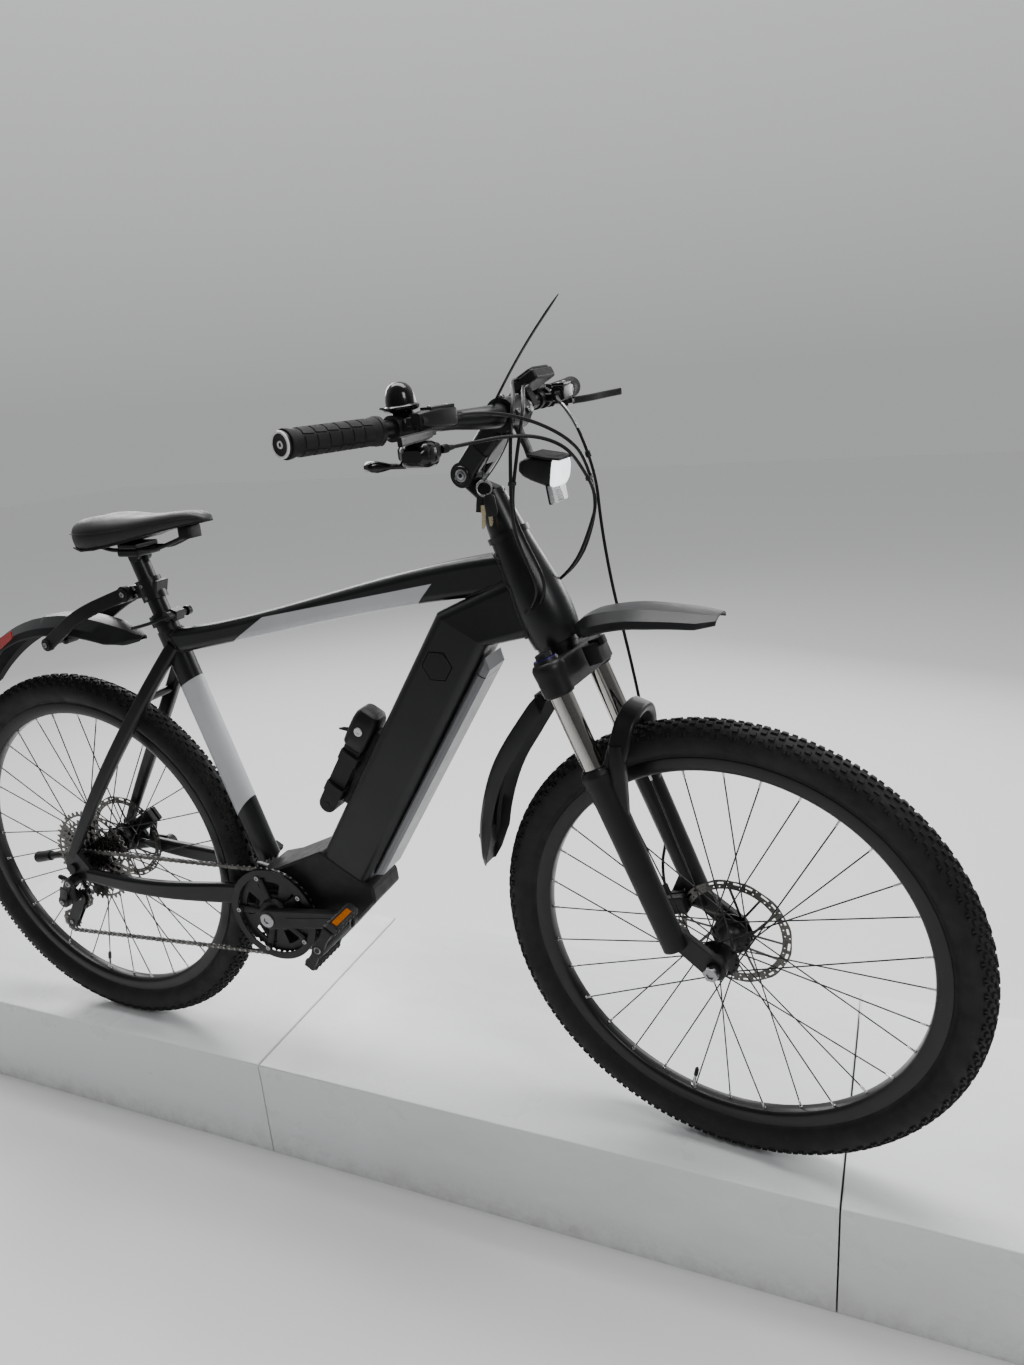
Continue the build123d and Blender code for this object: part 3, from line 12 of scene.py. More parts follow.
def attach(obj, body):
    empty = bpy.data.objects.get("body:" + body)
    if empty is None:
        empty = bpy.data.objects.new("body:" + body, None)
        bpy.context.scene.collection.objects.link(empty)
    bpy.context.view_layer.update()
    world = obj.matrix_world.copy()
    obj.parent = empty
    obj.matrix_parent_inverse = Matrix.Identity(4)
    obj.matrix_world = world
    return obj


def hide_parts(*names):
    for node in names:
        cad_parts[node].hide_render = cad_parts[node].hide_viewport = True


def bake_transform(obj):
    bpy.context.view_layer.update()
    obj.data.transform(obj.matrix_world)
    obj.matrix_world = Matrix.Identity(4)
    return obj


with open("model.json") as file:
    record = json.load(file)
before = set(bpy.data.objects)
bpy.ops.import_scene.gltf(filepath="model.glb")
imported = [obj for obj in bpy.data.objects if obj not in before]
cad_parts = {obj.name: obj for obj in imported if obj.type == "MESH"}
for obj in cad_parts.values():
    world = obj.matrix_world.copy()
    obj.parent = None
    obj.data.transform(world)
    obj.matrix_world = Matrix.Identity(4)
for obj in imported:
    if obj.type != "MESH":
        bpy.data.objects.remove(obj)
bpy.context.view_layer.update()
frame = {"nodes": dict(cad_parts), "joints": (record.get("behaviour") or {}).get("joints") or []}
nodes = frame["nodes"]
joints = {joint["name"]: joint for joint in frame["joints"]}


def place(name):
    """Where a joint is."""
    return Vector(joints[name]["pos_m"])


def way(name):
    """The direction of a joint's axis."""
    return Vector(joints[name]["axis"]).normalized()


WHEEL_R = 0.368
REAR_AXLE = place("rear_wheel_spin")
FRONT_AXLE = place("front_wheel_spin")
FRONT_SIDE = way("front_wheel_spin")
CRANK = place("crank_spin")
HEAD_UP = way("steering")
HEAD = place("steering")
SQUARE = ((-1, -1), (1, -1), (1, 1), (-1, 1))  # a square's corners in order
AHEAD = Vector((1, 0, 0))
SIDE = Vector((0, 1, 0))
UP = Vector((0, 0, 1))


def bike(x, y, z):
    """A point measured forward, left and up from the deck under the rear axle."""
    return REAR_AXLE + Vector((x, y, z - WHEEL_R))


REST_TURN = math.radians(-7.0)  # the bars' turn at rest
STEER = Quaternion(HEAD_UP, REST_TURN).to_matrix()


def steered(x, y, z):
    """The same on the front assembly, given as if it pointed straight ahead."""
    return HEAD + STEER @ (bike(x, y, z) - HEAD)


# ---------------------------------------------------------------- camera, light and floor
CAMERA_AT = bike(1.470, -1.262, 1.194)
CAMERA_RIGHT = Vector((0.92250, 0.37889, -0.07369))
CAMERA_UP = Vector((-0.04806, 0.30216, 0.95204))
LENS_MM, SENSOR_MM = 25.11, 36.0
NEAR_SIDE = (0.42, -0.88, 0.10)  # the direction in which the room is dim
FLOOR_HALF = 14


def set_camera():
    data = bpy.data.cameras.new("camera")
    data.lens = LENS_MM
    data.sensor_width = SENSOR_MM
    data.clip_end = 60
    camera = bpy.data.objects.new("camera", data)
    bpy.context.scene.collection.objects.link(camera)
    right, up = CAMERA_RIGHT.normalized(), CAMERA_UP.normalized()
    back = right.cross(up).normalized()
    turn = Matrix((right, up, back)).transposed()
    camera.matrix_world = Matrix.Translation(CAMERA_AT) @ turn.to_4x4()
    bpy.context.scene.camera = camera


def area_light(name, at, target, size, power):
    data = bpy.data.lights.new(name, "AREA")
    data.shape = "RECTANGLE"
    data.size, data.size_y = size
    data.energy = power
    light = bpy.data.objects.new(name, data)
    bpy.context.scene.collection.objects.link(light)
    light.location = at
    light.rotation_euler = (Vector(target) - Vector(at)).to_track_quat("-Z", "Y").to_euler()


def map_range(tree, source, low, high, low_value, high_value):
    """A straight ramp between two values of source."""
    node = tree.nodes.new("ShaderNodeMapRange")
    for name, value in (("From Min", low), ("From Max", high), ("To Min", low_value), ("To Max", high_value)):
        node.inputs[name].default_value = value
    tree.links.new(source, node.inputs["Value"])
    return node.outputs["Result"]


def set_light():
    """A room that is dim on the near side and bright behind, with soft lamps round it."""
    world = bpy.data.worlds.new("studio")
    bpy.context.scene.world = world
    world.use_nodes = True
    tree = world.node_tree
    coords = tree.nodes.new("ShaderNodeTexCoord")
    toward = tree.nodes.new("ShaderNodeVectorMath")
    toward.operation = "DOT_PRODUCT"
    toward.inputs[1].default_value = NEAR_SIDE
    tree.links.new(coords.outputs["Generated"], toward.inputs[0])
    fall = map_range(tree, toward.outputs["Value"], -0.45, 0.35, 1.0, 0.22)
    background = tree.nodes["Background"]
    background.inputs["Color"].default_value = (0.86, 0.87, 0.88, 1)
    height = tree.nodes.new("ShaderNodeSeparateXYZ")
    tree.links.new(coords.outputs["Generated"], height.inputs[0])
    rise = map_range(tree, height.outputs["Z"], 0.0, 0.55, 0.46, 1.0)
    both = tree.nodes.new("ShaderNodeMath")
    both.operation = "MULTIPLY"
    tree.links.new(fall, both.inputs[0])
    tree.links.new(rise, both.inputs[1])
    tree.links.new(both.outputs[0], background.inputs["Strength"])
    middle = (0.0, 0.0, 0.8)
    area_light("overhead", (0.0, 0.4, 3.6), middle, (3.4, 1.2), 120)
    area_light("front_left", (3.0, -1.6, 3.0), middle, (1.0, 1.0), 38)
    area_light("rear", (-2.6, 2.4, 2.4), middle, (2.0, 1.4), 60)
    area_light("rim", (1.0, 3.0, 1.6), middle, (2.6, 0.8), 38)


def set_floor():
    mesh = bpy.data.meshes.new("floor")
    corners = [(x * FLOOR_HALF, y * FLOOR_HALF, 0) for x, y in SQUARE]
    mesh.from_pydata(corners, [], [(0, 1, 2, 3)])
    floor = bpy.data.objects.new("floor", mesh)
    bpy.context.scene.collection.objects.link(floor)
    material = bpy.data.materials.new("floor")
    material.use_nodes = True
    shader = material.node_tree.nodes["Principled BSDF"]
    shader.inputs["Base Color"].default_value = (0.80, 0.80, 0.80, 1)
    shader.inputs["Roughness"].default_value = 0.75
    mesh.materials.append(material)


# ---------------------------------------------------------------- materials
class Nodes:
    """Short names for building one material's node tree."""

    def __init__(self, name):
        self.material = bpy.data.materials.new(name)
        self.material.use_nodes = True
        self.tree = self.material.node_tree
        self.shader = self.tree.nodes["Principled BSDF"]
        self.coords = self.tree.nodes.new("ShaderNodeTexCoord").outputs["Object"]

    def set(self, **values):
        for name, value in values.items():
            socket = self.shader.inputs[name.replace("_", " ")]
            socket.default_value = (*value, 1) if isinstance(value, tuple) else value

    def link(self, source, target):
        self.tree.links.new(source, target)

    def noise(self, scale, detail, rough, stretch=None):
        node = self.tree.nodes.new("ShaderNodeTexNoise")
        node.inputs["Scale"].default_value = scale
        node.inputs["Detail"].default_value = detail
        node.inputs["Roughness"].default_value = rough
        self.link(self.stretched(stretch), node.inputs["Vector"])
        return node.outputs["Fac"]

    def stretched(self, stretch):
        if not stretch:
            return self.coords
        node = self.tree.nodes.new("ShaderNodeMapping")
        node.inputs["Scale"].default_value = stretch
        self.link(self.coords, node.inputs["Vector"])
        return node.outputs["Vector"]

    def cells(self, scale):
        node = self.tree.nodes.new("ShaderNodeTexVoronoi")
        node.inputs["Scale"].default_value = scale
        self.link(self.coords, node.inputs["Vector"])
        return node.outputs["Distance"]

    def ramp(self, source, low, high, low_value=0.0, high_value=1.0):
        return map_range(self.tree, source, low, high, low_value, high_value)

    def math(self, operation, first, second):
        node = self.tree.nodes.new("ShaderNodeMath")
        node.operation = operation
        for value, socket in ((first, node.inputs[0]), (second, node.inputs[1])):
            if isinstance(value, (int, float)):
                socket.default_value = value
            else:
                self.link(value, socket)
        return node.outputs[0]

    def mix(self, factor, first, second):
        """Colours mixed by factor; each may be a colour or another mix."""
        node = self.tree.nodes.new("ShaderNodeMix")
        node.data_type = "RGBA"
        self.link(factor, node.inputs["Factor"])
        for value, socket in ((first, node.inputs["A"]), (second, node.inputs["B"])):
            if isinstance(value, tuple):
                socket.default_value = (*value, 1)
            else:
                self.link(value, socket)
        return node.outputs["Result"]

    def axis(self, name):
        node = self.tree.nodes.new("ShaderNodeSeparateXYZ")
        self.link(self.coords, node.inputs[0])
        return node.outputs[name]

    def bump(self, height, strength, distance):
        node = self.tree.nodes.new("ShaderNodeBump")
        node.inputs["Strength"].default_value = strength
        node.inputs["Distance"].default_value = distance
        self.link(height, node.inputs["Height"])
        return node.outputs["Normal"]

    def colour(self, source):
        self.link(source, self.shader.inputs["Base Color"])

    def roughness(self, source):
        self.link(source, self.shader.inputs["Roughness"])

    def normal(self, source):
        self.link(source, self.shader.inputs["Normal"])


def mottled(
    name, dark, light, rough, grain, metal=0.0, bump=0.12, patch=9.0, coat=0.0, grime=None, shine=0.30
):
    """A coat with fine grain, slow changes of tone and uneven polish.

    dark and light are colours, rough a pair of roughnesses and grain the texture's scale."""
    n = Nodes(name)
    n.set(Metallic=metal, Coat_Weight=coat, Coat_Roughness=0.25, Specular_IOR_Level=0.5 if metal else shine)
    slow = n.noise(patch, 4, 0.6)
    tone = n.mix(n.ramp(slow, 0.35, 0.68), dark, light)
    if grime:
        patch_mask = n.ramp(n.noise(grain * 0.12, 6, 0.7), 0.55, 0.8)
        tone = n.mix(patch_mask, tone, grime)
    n.colour(tone)
    n.roughness(n.ramp(n.noise(patch * 3, 3, 0.6), 0.3, 0.75, rough[0], rough[1]))
    n.normal(n.bump(n.noise(grain, 2, 0.5), bump, 0.0004))
    return n.material


def brushed(name, dark, light, rough, stretch, scale=900.0):
    """Machined metal with fine lines across one axis."""
    n = Nodes(name)
    n.set(Metallic=1.0)
    lines = n.noise(scale, 3, 0.6, stretch=stretch)
    n.colour(n.mix(n.ramp(lines, 0.3, 0.7), dark, light))
    n.roughness(n.ramp(lines, 0.2, 0.8, rough[0], rough[1]))
    n.normal(n.bump(lines, 0.08, 0.0002))
    return n.material


# ---------------------------------------------------------------- mesh helpers
def square_to(direction, hint=UP):
    """Two unit vectors square to a direction and to each other, the first nearest to hint."""
    direction = direction.normalized()
    first = hint - direction * hint.dot(direction)
    if first.length < 1e-4:
        first = AHEAD - direction * direction.x
    first.normalize()
    return first, direction.cross(first)


def circle(radius, count, centre=(0, 0)):
    step = 2 * math.pi / count
    return [
        (centre[0] + radius * math.cos(i * step), centre[1] + radius * math.sin(i * step))
        for i in range(count)
    ]


def rounded(width, height, corner, steps=4):
    """The outline of a rounded rectangle about (0, 0)."""
    points = []
    for quarter, (sx, sy) in enumerate(((1, 1), (-1, 1), (-1, -1), (1, -1))):
        for i in range(steps + 1):
            a = math.pi / 2 * (quarter + i / steps)
            cx, cy = sx * (width / 2 - corner), sy * (height / 2 - corner)
            points.append((cx + corner * math.cos(a), cy + corner * math.sin(a)))
    return points


class Shape:
    """A mesh put together from simple solids, each with a material number."""

    def __init__(self, frame_matrix=None):
        self.verts, self.faces, self.marks = [], [], []
        self.mark = 0
        self.matrix = frame_matrix or Matrix.Identity(4)

    def add(self, verts, faces):
        first = len(self.verts)
        self.verts += [self.matrix @ Vector(v) for v in verts]
        self.faces += [[first + i for i in face] for face in faces]
        self.marks += [self.mark] * len(faces)

    def rings(self, rings, closed=False):
        """Joins rings of the same number of points; closed joins the last to the first."""
        count = len(rings[0])
        verts = [p for ring in rings for p in ring]
        faces = []
        last = len(rings) if closed else len(rings) - 1
        for r in range(last):
            a, b = r * count, (r + 1) % len(rings) * count
            for i in range(count):
                j = (i + 1) % count
                faces.append((a + i, a + j, b + j, b + i))
        if not closed:
            faces.append(tuple(reversed(range(count))))
            faces.append(tuple(range((len(rings) - 1) * count, len(rings) * count)))
        self.add(verts, faces)

    def lathe(self, profile, origin=(0, 0, 0), axis=SIDE, count=48, closed=False):
        """Turns (along, radius) points about an axis."""
        origin, axis = Vector(origin), Vector(axis).normalized()
        u, v = square_to(axis)
        rings = []
        for along, radius in profile:
            rings.append([origin + axis * along + u * y + v * x for x, y in circle(radius, count)])
        self.rings(rings, closed=closed)

    def rod(self, start, end, radius, count=16):
        self.lathe([(0, radius), ((end - start).length, radius)], start, end - start, count)

    def sweep(self, points, outline, hint=UP, scales=None):
        """An outline of (across, up) points carried along a path."""
        points = [Vector(p) for p in points]
        rings = []
        last = len(points) - 1
        for i, p in enumerate(points):
            up, across = square_to(points[min(i + 1, last)] - points[max(i - 1, 0)], hint)
            scale = scales[i] if scales else 1.0
            sx, sy = scale if isinstance(scale, tuple) else (scale, scale)
            rings.append([p + across * (x * sx) + up * (y * sy) for x, y in outline])
        self.rings(rings)

    def slab(self, outline, origin, across, up, depth, inset=0.0):
        """A flat outline with thickness, its front edge drawn in by inset."""
        origin, across, up = Vector(origin), Vector(across).normalized(), Vector(up).normalized()
        out = across.cross(up)
        mid = [sum(p[k] for p in outline) / len(outline) for k in (0, 1)]

        def ring(at, shrink):
            made = []
            for x, y in outline:
                dx, dy = x - mid[0], y - mid[1]
                size = max(math.hypot(dx, dy), 1e-6)
                k = 1 - shrink / size
                made.append(origin + across * (mid[0] + dx * k) + up * (mid[1] + dy * k) + out * at)
            return made

        sides = [ring(0, 0), ring(depth - inset, 0)]
        self.rings(sides + [ring(depth, inset)] if inset else sides)

    def bolt(self, at, out, radius, height=None, count=20):
        """A socket head standing on a surface."""
        height = height or radius * 0.8
        hole = radius * 0.5
        self.lathe(
            [(-height, radius * 0.96), (height * 0.75, radius), (height, radius * 0.86), (height, hole),
             (height * 0.35, hole)],
            at, out, count,
        )

    def object(self, name, materials, body, slot, stands_for=(), bevel=0.0, sharp=35.0, levels=0):
        mesh = bpy.data.meshes.new(name)
        mesh.from_pydata(self.verts, [], self.faces)
        for material in materials:
            mesh.materials.append(material)
        mesh.polygons.foreach_set("material_index", self.marks)
        mesh.polygons.foreach_set("use_smooth", [True] * len(self.faces))
        mesh.validate()
        tidy = bmesh.new()
        tidy.from_mesh(mesh)
        bmesh.ops.recalc_face_normals(tidy, faces=tidy.faces)
        tidy.to_mesh(mesh)
        tidy.free()
        mesh.set_sharp_from_angle(angle=math.radians(sharp))
        made = bpy.data.objects.new(name, mesh)
        bpy.context.scene.collection.objects.link(made)
        if bevel:
            modifier = made.modifiers.new("edge", "BEVEL")
            modifier.width = bevel
            modifier.segments = 2
            modifier.limit_method = "ANGLE"
            modifier.angle_limit = math.radians(40)
        if levels:
            modifier = made.modifiers.new("smooth", "SUBSURF")
            modifier.levels = modifier.render_levels = levels
        if body:
            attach(made, body)
        if stands_for:
            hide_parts(*stands_for)
        return made


def wheel_matrix(centre, side):
    """A wheel's own frame: X forward, Y along the axle to the left, Z up."""
    up = (UP - side * UP.dot(side)).normalized()
    ahead = side.cross(up)
    return Matrix.Translation(centre) @ Matrix((ahead, side, up)).transposed().to_4x4()


# ---------------------------------------------------------------- finishes
# the darker and the lighter tone of each paint
BLACK_PAIR = ((0.0042, 0.0045, 0.0052), (0.0075, 0.0080, 0.0090))
WHITE_PAIR = ((0.48, 0.49, 0.51), (0.54, 0.55, 0.57))
GREY_PAIR = ((0.17, 0.175, 0.185), (0.21, 0.215, 0.225))

FRAME_BLACK = mottled("frame_black", *BLACK_PAIR, (0.28, 0.42), 2200, patch=7, coat=0.12)
CAST_BLACK = mottled(
    "cast_black", (0.0050, 0.0050, 0.0055), (0.0105, 0.0105, 0.0110), (0.34, 0.5), 1500, bump=0.2
)
PLASTIC = mottled(
    "black_plastic", (0.0055, 0.0055, 0.0060), (0.0105, 0.0105, 0.0110), (0.42, 0.6), 2600, bump=0.3, patch=22
)
FENDER = mottled(
    "fender_plastic", (0.0085, 0.0088, 0.0098), (0.0145, 0.0150, 0.0163), (0.30, 0.42), 1800, bump=0.15,
    patch=5
)
GLOSS = mottled(
    "gloss_plastic", (0.0030, 0.0030, 0.0034), (0.0055, 0.0055, 0.0060), (0.12, 0.24), 900, bump=0.03,
    shine=0.4
)
GRIP = mottled(
    "grip_rubber", (0.0055, 0.0055, 0.0055), (0.0115, 0.0110, 0.0105), (0.62, 0.8), 3000, bump=0.35
)
TYRE = mottled(
    "tyre_rubber", (0.0065, 0.0065, 0.0065), (0.0130, 0.0125, 0.0120), (0.58, 0.8), 1400, bump=0.3, patch=14,
    grime=(0.026, 0.025, 0.023),
)
HOSE = mottled(
    "hose_black", (0.0040, 0.0040, 0.0040), (0.0080, 0.0080, 0.0080), (0.32, 0.45), 2400, bump=0.08
)
STEEL = brushed("plain_steel", (0.24, 0.24, 0.25), (0.42, 0.42, 0.43), (0.28, 0.45), (1, 1, 1), 700)
CHAIN_STEEL = mottled(
    "chain_steel", (0.050, 0.048, 0.045), (0.14, 0.135, 0.125), (0.3, 0.5), 900, metal=1.0, bump=0.2, patch=60
)
COG_STEEL = brushed("cog_steel", (0.070, 0.067, 0.063), (0.18, 0.172, 0.160), (0.25, 0.42), (1, 0.1, 1), 500)
ROTOR_STEEL = brushed(
    "rotor_steel", (0.060, 0.057, 0.054), (0.15, 0.145, 0.135), (0.26, 0.42), (1, 1, 1), 420
)
SPOKE = mottled("spoke_black", (0.006, 0.006, 0.0065), (0.013, 0.013, 0.0135), (0.3, 0.45), 1200, bump=0.05)
RIM = mottled(
    "rim_black", (0.0045, 0.0045, 0.0050), (0.0090, 0.0090, 0.0095), (0.26, 0.4), 1600, bump=0.08, coat=0.1
)
PACK = mottled("pack_plastic", (0.02, 0.02, 0.02), (0.04, 0.04, 0.04), (0.4, 0.6), 1500)
BRASS = brushed("key_brass", (0.36, 0.30, 0.18), (0.60, 0.53, 0.36), (0.25, 0.4), (1, 1, 1), 600)
SILVER = brushed("silver_trim", (0.55, 0.55, 0.56), (0.72, 0.72, 0.73), (0.2, 0.35), (1, 1, 1), 500)


def chrome():
    """Polished stanchions with the faint up-and-down lines of grinding."""
    n = Nodes("bright_steel")
    n.set(Metallic=1.0)
    lines = n.noise(1400, 2, 0.5, stretch=(1, 1, 0.05))
    n.colour(n.mix(n.ramp(lines, 0.3, 0.7), (0.40, 0.385, 0.36), (0.54, 0.52, 0.49)))
    n.roughness(n.ramp(lines, 0.2, 0.8, 0.05, 0.12))
    return n.material


def white_board():
    """Painted boards with scuffs and pale smears, darker in patches over the lowest 7 cm."""
    n = Nodes("white_board")
    smear = n.ramp(n.noise(3.2, 6, 0.7, stretch=(0.5, 1.6, 1)), 0.5, 0.78)
    tone = n.mix(smear, (0.80, 0.81, 0.82), (0.70, 0.705, 0.70))
    # darker in noisy patches over the lowest 7 cm, towards the floor
    low = n.ramp(n.axis("Z"), 0.0, 0.07, 0.55, 0.0)
    patch_mask = n.math("MULTIPLY", low, n.ramp(n.noise(26, 6, 0.75), 0.42, 0.7))
    tone = n.mix(patch_mask, tone, (0.42, 0.40, 0.36))
    scuffs = n.ramp(n.noise(60, 8, 0.8, stretch=(0.25, 1, 3)), 0.70, 0.74)
    n.colour(n.mix(n.math("MULTIPLY", scuffs, 0.55), tone, (0.30, 0.29, 0.28)))
    n.roughness(n.ramp(n.noise(5, 4, 0.6), 0.3, 0.7, 0.22, 0.42))
    n.normal(n.bump(n.noise(240, 3, 0.6), 0.06, 0.0006))
    return n.material


CHROME = chrome()
WHITE_BOARD = white_board()


def panelled(name, panel, inside):
    """A tube in the frame's black with a painted panel where inside, a 0 to 1 value, is 1."""
    n = Nodes(name)
    mask = inside(n)
    fine = n.ramp(n.noise(8, 4, 0.6), 0.35, 0.7)
    dark = n.mix(fine, *BLACK_PAIR)
    light = n.mix(fine, *panel)
    n.colour(n.mix(mask, dark, light))
    n.roughness(n.ramp(n.noise(20, 3, 0.6), 0.3, 0.75, 0.28, 0.42))
    n.set(Coat_Weight=0.12, Coat_Roughness=0.25, Specular_IOR_Level=0.3)
    n.normal(n.bump(n.noise(2200, 2, 0.5), 0.1, 0.0004))
    return n.material


def along_line(n, origin, direction):
    """How far each point lies along a direction from origin, in metres."""
    node = n.tree.nodes.new("ShaderNodeVectorMath")
    node.operation = "DOT_PRODUCT"
    n.link(n.coords, node.inputs[0])
    node.inputs[1].default_value = Vector(direction)
    return n.math("SUBTRACT", node.outputs["Value"], Vector(direction).dot(Vector(origin)))


def between(n, value, low, high, edge):
    """1 where value lies between low and high."""
    return n.math(
        "MULTIPLY", n.ramp(value, low - edge, low + edge), n.ramp(value, high - edge, high + edge, 1, 0)
    )


def paint(node_names, material):
    for name in node_names:
        data = nodes[name].data
        data.materials.clear()
        data.materials.append(material)


def ease(node_names, width):
    """Rounds the sharp edges of CAD nodes for the eye, without changing their meshes."""
    for name in node_names:
        modifier = nodes[name].modifiers.new("edge", "BEVEL")
        modifier.width = width
        modifier.segments = 2
        modifier.limit_method = "ANGLE"
        modifier.angle_limit = math.radians(35)
        modifier.harden_normals = True


def stamped(loops, thickness, bevel=0.0):
    """Vertices and faces of a flat plate about z 0; the first loop is its outline, the rest its holes."""
    data = bpy.data.curves.new("stamp", "CURVE")
    data.dimensions = "2D"
    data.fill_mode = "BOTH"
    data.extrude = thickness / 2 - bevel
    data.bevel_depth = bevel
    data.bevel_resolution = 0
    data.offset = -bevel
    for loop in loops:
        spline = data.splines.new("POLY")
        spline.points.add(len(loop) - 1)
        for point, (x, y) in zip(spline.points, loop):
            point.co = (x, y, 0, 1)
        spline.use_cyclic_u = True
    holder = bpy.data.objects.new("stamp", data)
    mesh = bpy.data.meshes.new_from_object(holder)
    tidy = bmesh.new()
    tidy.from_mesh(mesh)
    bmesh.ops.remove_doubles(tidy, verts=tidy.verts, dist=1e-6)
    tidy.to_mesh(mesh)
    tidy.free()
    verts = [v.co.copy() for v in mesh.vertices]
    faces = [tuple(p.vertices) for p in mesh.polygons]
    bpy.data.objects.remove(holder)
    bpy.data.curves.remove(data)
    bpy.data.meshes.remove(mesh)
    return verts, faces


def press(shape, loops, origin, across, up, thickness, bevel=0.0):
    """Adds a stamped plate to a shape: its x along across, its y along up, centred on origin."""
    across, up = Vector(across).normalized(), Vector(up).normalized()
    out = across.cross(up)
    verts, faces = stamped(loops, thickness, bevel)
    origin = Vector(origin)
    shape.add([origin + across * v.x + up * v.y + out * v.z for v in verts], faces)


def around(radius, degrees):
    a = math.radians(degrees)
    return (radius * math.cos(a), radius * math.sin(a))


def slot_loop(radius, middle, span, width, steps=6):
    """An arc-shaped slot on a circle, as one loop."""
    outer = [around(radius + width / 2, middle - span / 2 + span * i / steps) for i in range(steps + 1)]
    inner = [around(radius - width / 2, middle + span / 2 - span * i / steps) for i in range(steps + 1)]
    return outer + inner


# ---------------------------------------------------------------- wheels
TYRE_TUBE = 0.0285
TYRE_MID = WHEEL_R - TYRE_TUBE
KNOB_H = 0.0029
RIM_EDGE, RIM_INSIDE, RIM_HALF = 0.313, 0.291, 0.014
TREAD_PITCHES = 92
# (angle from the crown, offset in pitches, length along, width across) of each row on one side
KNOB_ROWS = (
    (7, 0.0, 9.5, 6.5), (20, 0.5, 8.0, 5.6), (34, 0.0, 8.0, 5.6), (47, 0.5, 7.5, 5.2), (60, 0.0, 8.5, 4.6)
)
SPLIT_GAP, SPLIT_LONG = 0.0030 / WHEEL_R, 0.0036
SPOKES = 16  # on each side
FLANGE_R = 0.026
ROTOR_THICK = 0.0018


def knob(shape, turn, lean, length, width):
    """One tread block, narrower at its top."""
    casing = TYRE_TUBE - KNOB_H
    out = Vector((0, math.sin(lean), math.cos(lean)))
    side = Vector((0, math.cos(lean), -math.sin(lean)))
    base = Vector((0, 0, TYRE_MID)) + out * (casing - 0.0009)
    top = base + out * (KNOB_H + 0.0009)
    spin = Matrix.Rotation(turn, 3, "Y")
    shape.rings([
        [spin @ (at + AHEAD * (x * length * share) + side * (y * width * share)) for x, y in SQUARE]
        for at, share in ((base, 0.55), (top, 0.44))
    ])


def tyre_piece(matrix, end):
    """A rounded casing with five rows of tread blocks on each side of its crown."""
    shape = Shape(matrix)
    casing = TYRE_TUBE - KNOB_H
    profile = [(-0.0112, RIM_EDGE - 0.003), (-0.0128, RIM_EDGE + 0.0012), (-0.0135, RIM_EDGE + 0.0032)]
    steps = 34
    for i in range(steps + 1):
        a = math.radians(-146 + 292 * i / steps)
        profile.append((casing * math.sin(a), TYRE_MID + casing * math.cos(a)))
    profile += [(0.0135, RIM_EDGE + 0.0032), (0.0128, RIM_EDGE + 0.0012), (0.0112, RIM_EDGE - 0.003)]
    shape.lathe(profile, count=192, closed=True)
    step = 2 * math.pi / TREAD_PITCHES
    for pitch in range(TREAD_PITCHES):
        for row, (lean, offset, length, width) in enumerate(KNOB_ROWS):
            for side in (-1, 1):
                shift = offset + (0.5 if side > 0 and row == 0 else 0)
                turn = (pitch + shift) * step
                tilt = math.radians(side * lean)
                if row < len(KNOB_ROWS) - 1:
                    knob(shape, turn, tilt, length / 1000, width / 1000)
                    continue
                for gap in (-SPLIT_GAP, SPLIT_GAP):  # the outermost blocks are split in two
                    knob(shape, turn + gap, tilt, SPLIT_LONG, width / 1000)
    shape.object(f"{end}_knobbly_tyre", [TYRE], f"{end}_wheel", "tyre_rubber", [f"{end}_tyre"])


def rim_piece(matrix, end):
    """A box rim with rounded flanks, hooked edges, a valve and its nut."""
    shape = Shape(matrix)
    half = RIM_HALF
    profile = [
        (-0.0075, RIM_INSIDE), (0.0075, RIM_INSIDE), (0.0105, RIM_INSIDE + 0.0016),
        (0.0128, RIM_INSIDE + 0.006), (half - 0.0003, RIM_INSIDE + 0.012), (half, RIM_INSIDE + 0.0205),
        (half - 0.0004, RIM_EDGE + 0.0006), (half - 0.0014, RIM_EDGE + 0.0006),
        (half - 0.0022, RIM_EDGE - 0.001), (half - 0.0018, RIM_EDGE - 0.008),
        (0.009, RIM_INSIDE + 0.006), (-0.009, RIM_INSIDE + 0.006), (0.0018 - half, RIM_EDGE - 0.008),
        (0.0022 - half, RIM_EDGE - 0.001), (0.0014 - half, RIM_EDGE + 0.0006),
        (0.0004 - half, RIM_EDGE + 0.0006), (-half, RIM_INSIDE + 0.0205),
        (0.0003 - half, RIM_INSIDE + 0.012), (-0.0128, RIM_INSIDE + 0.006),
        (-0.0105, RIM_INSIDE + 0.0016),
    ]
    shape.lathe(profile, count=192, closed=True)
    valve = Matrix.Rotation(math.radians(-168), 3, "Y")
    foot, tip = valve @ Vector((0, 0, RIM_INSIDE + 0.003)), valve @ Vector((0, 0, RIM_INSIDE - 0.036))
    inward = (tip - foot).normalized()
    shape.mark = 1
    shape.lathe(
        [(0, 0.0026), (0.030, 0.0026), (0.030, 0.0019), (0.0385, 0.0017), (0.039, 0.001)], foot, inward, 14
    )
    shape.lathe([(0.0030, 0.0046), (0.0052, 0.0046), (0.0056, 0.0040)], foot, inward, 6)
    shape.mark = 2
    shape.lathe([(0.026, 0.0034), (0.0385, 0.0034), (0.0415, 0.0022)], foot, inward, 14)
    shape.object(
        f"{end}_box_rim", [RIM, SILVER, PLASTIC], f"{end}_wheel", "frame_black", [f"{end}_rim"], sharp=50,
    )


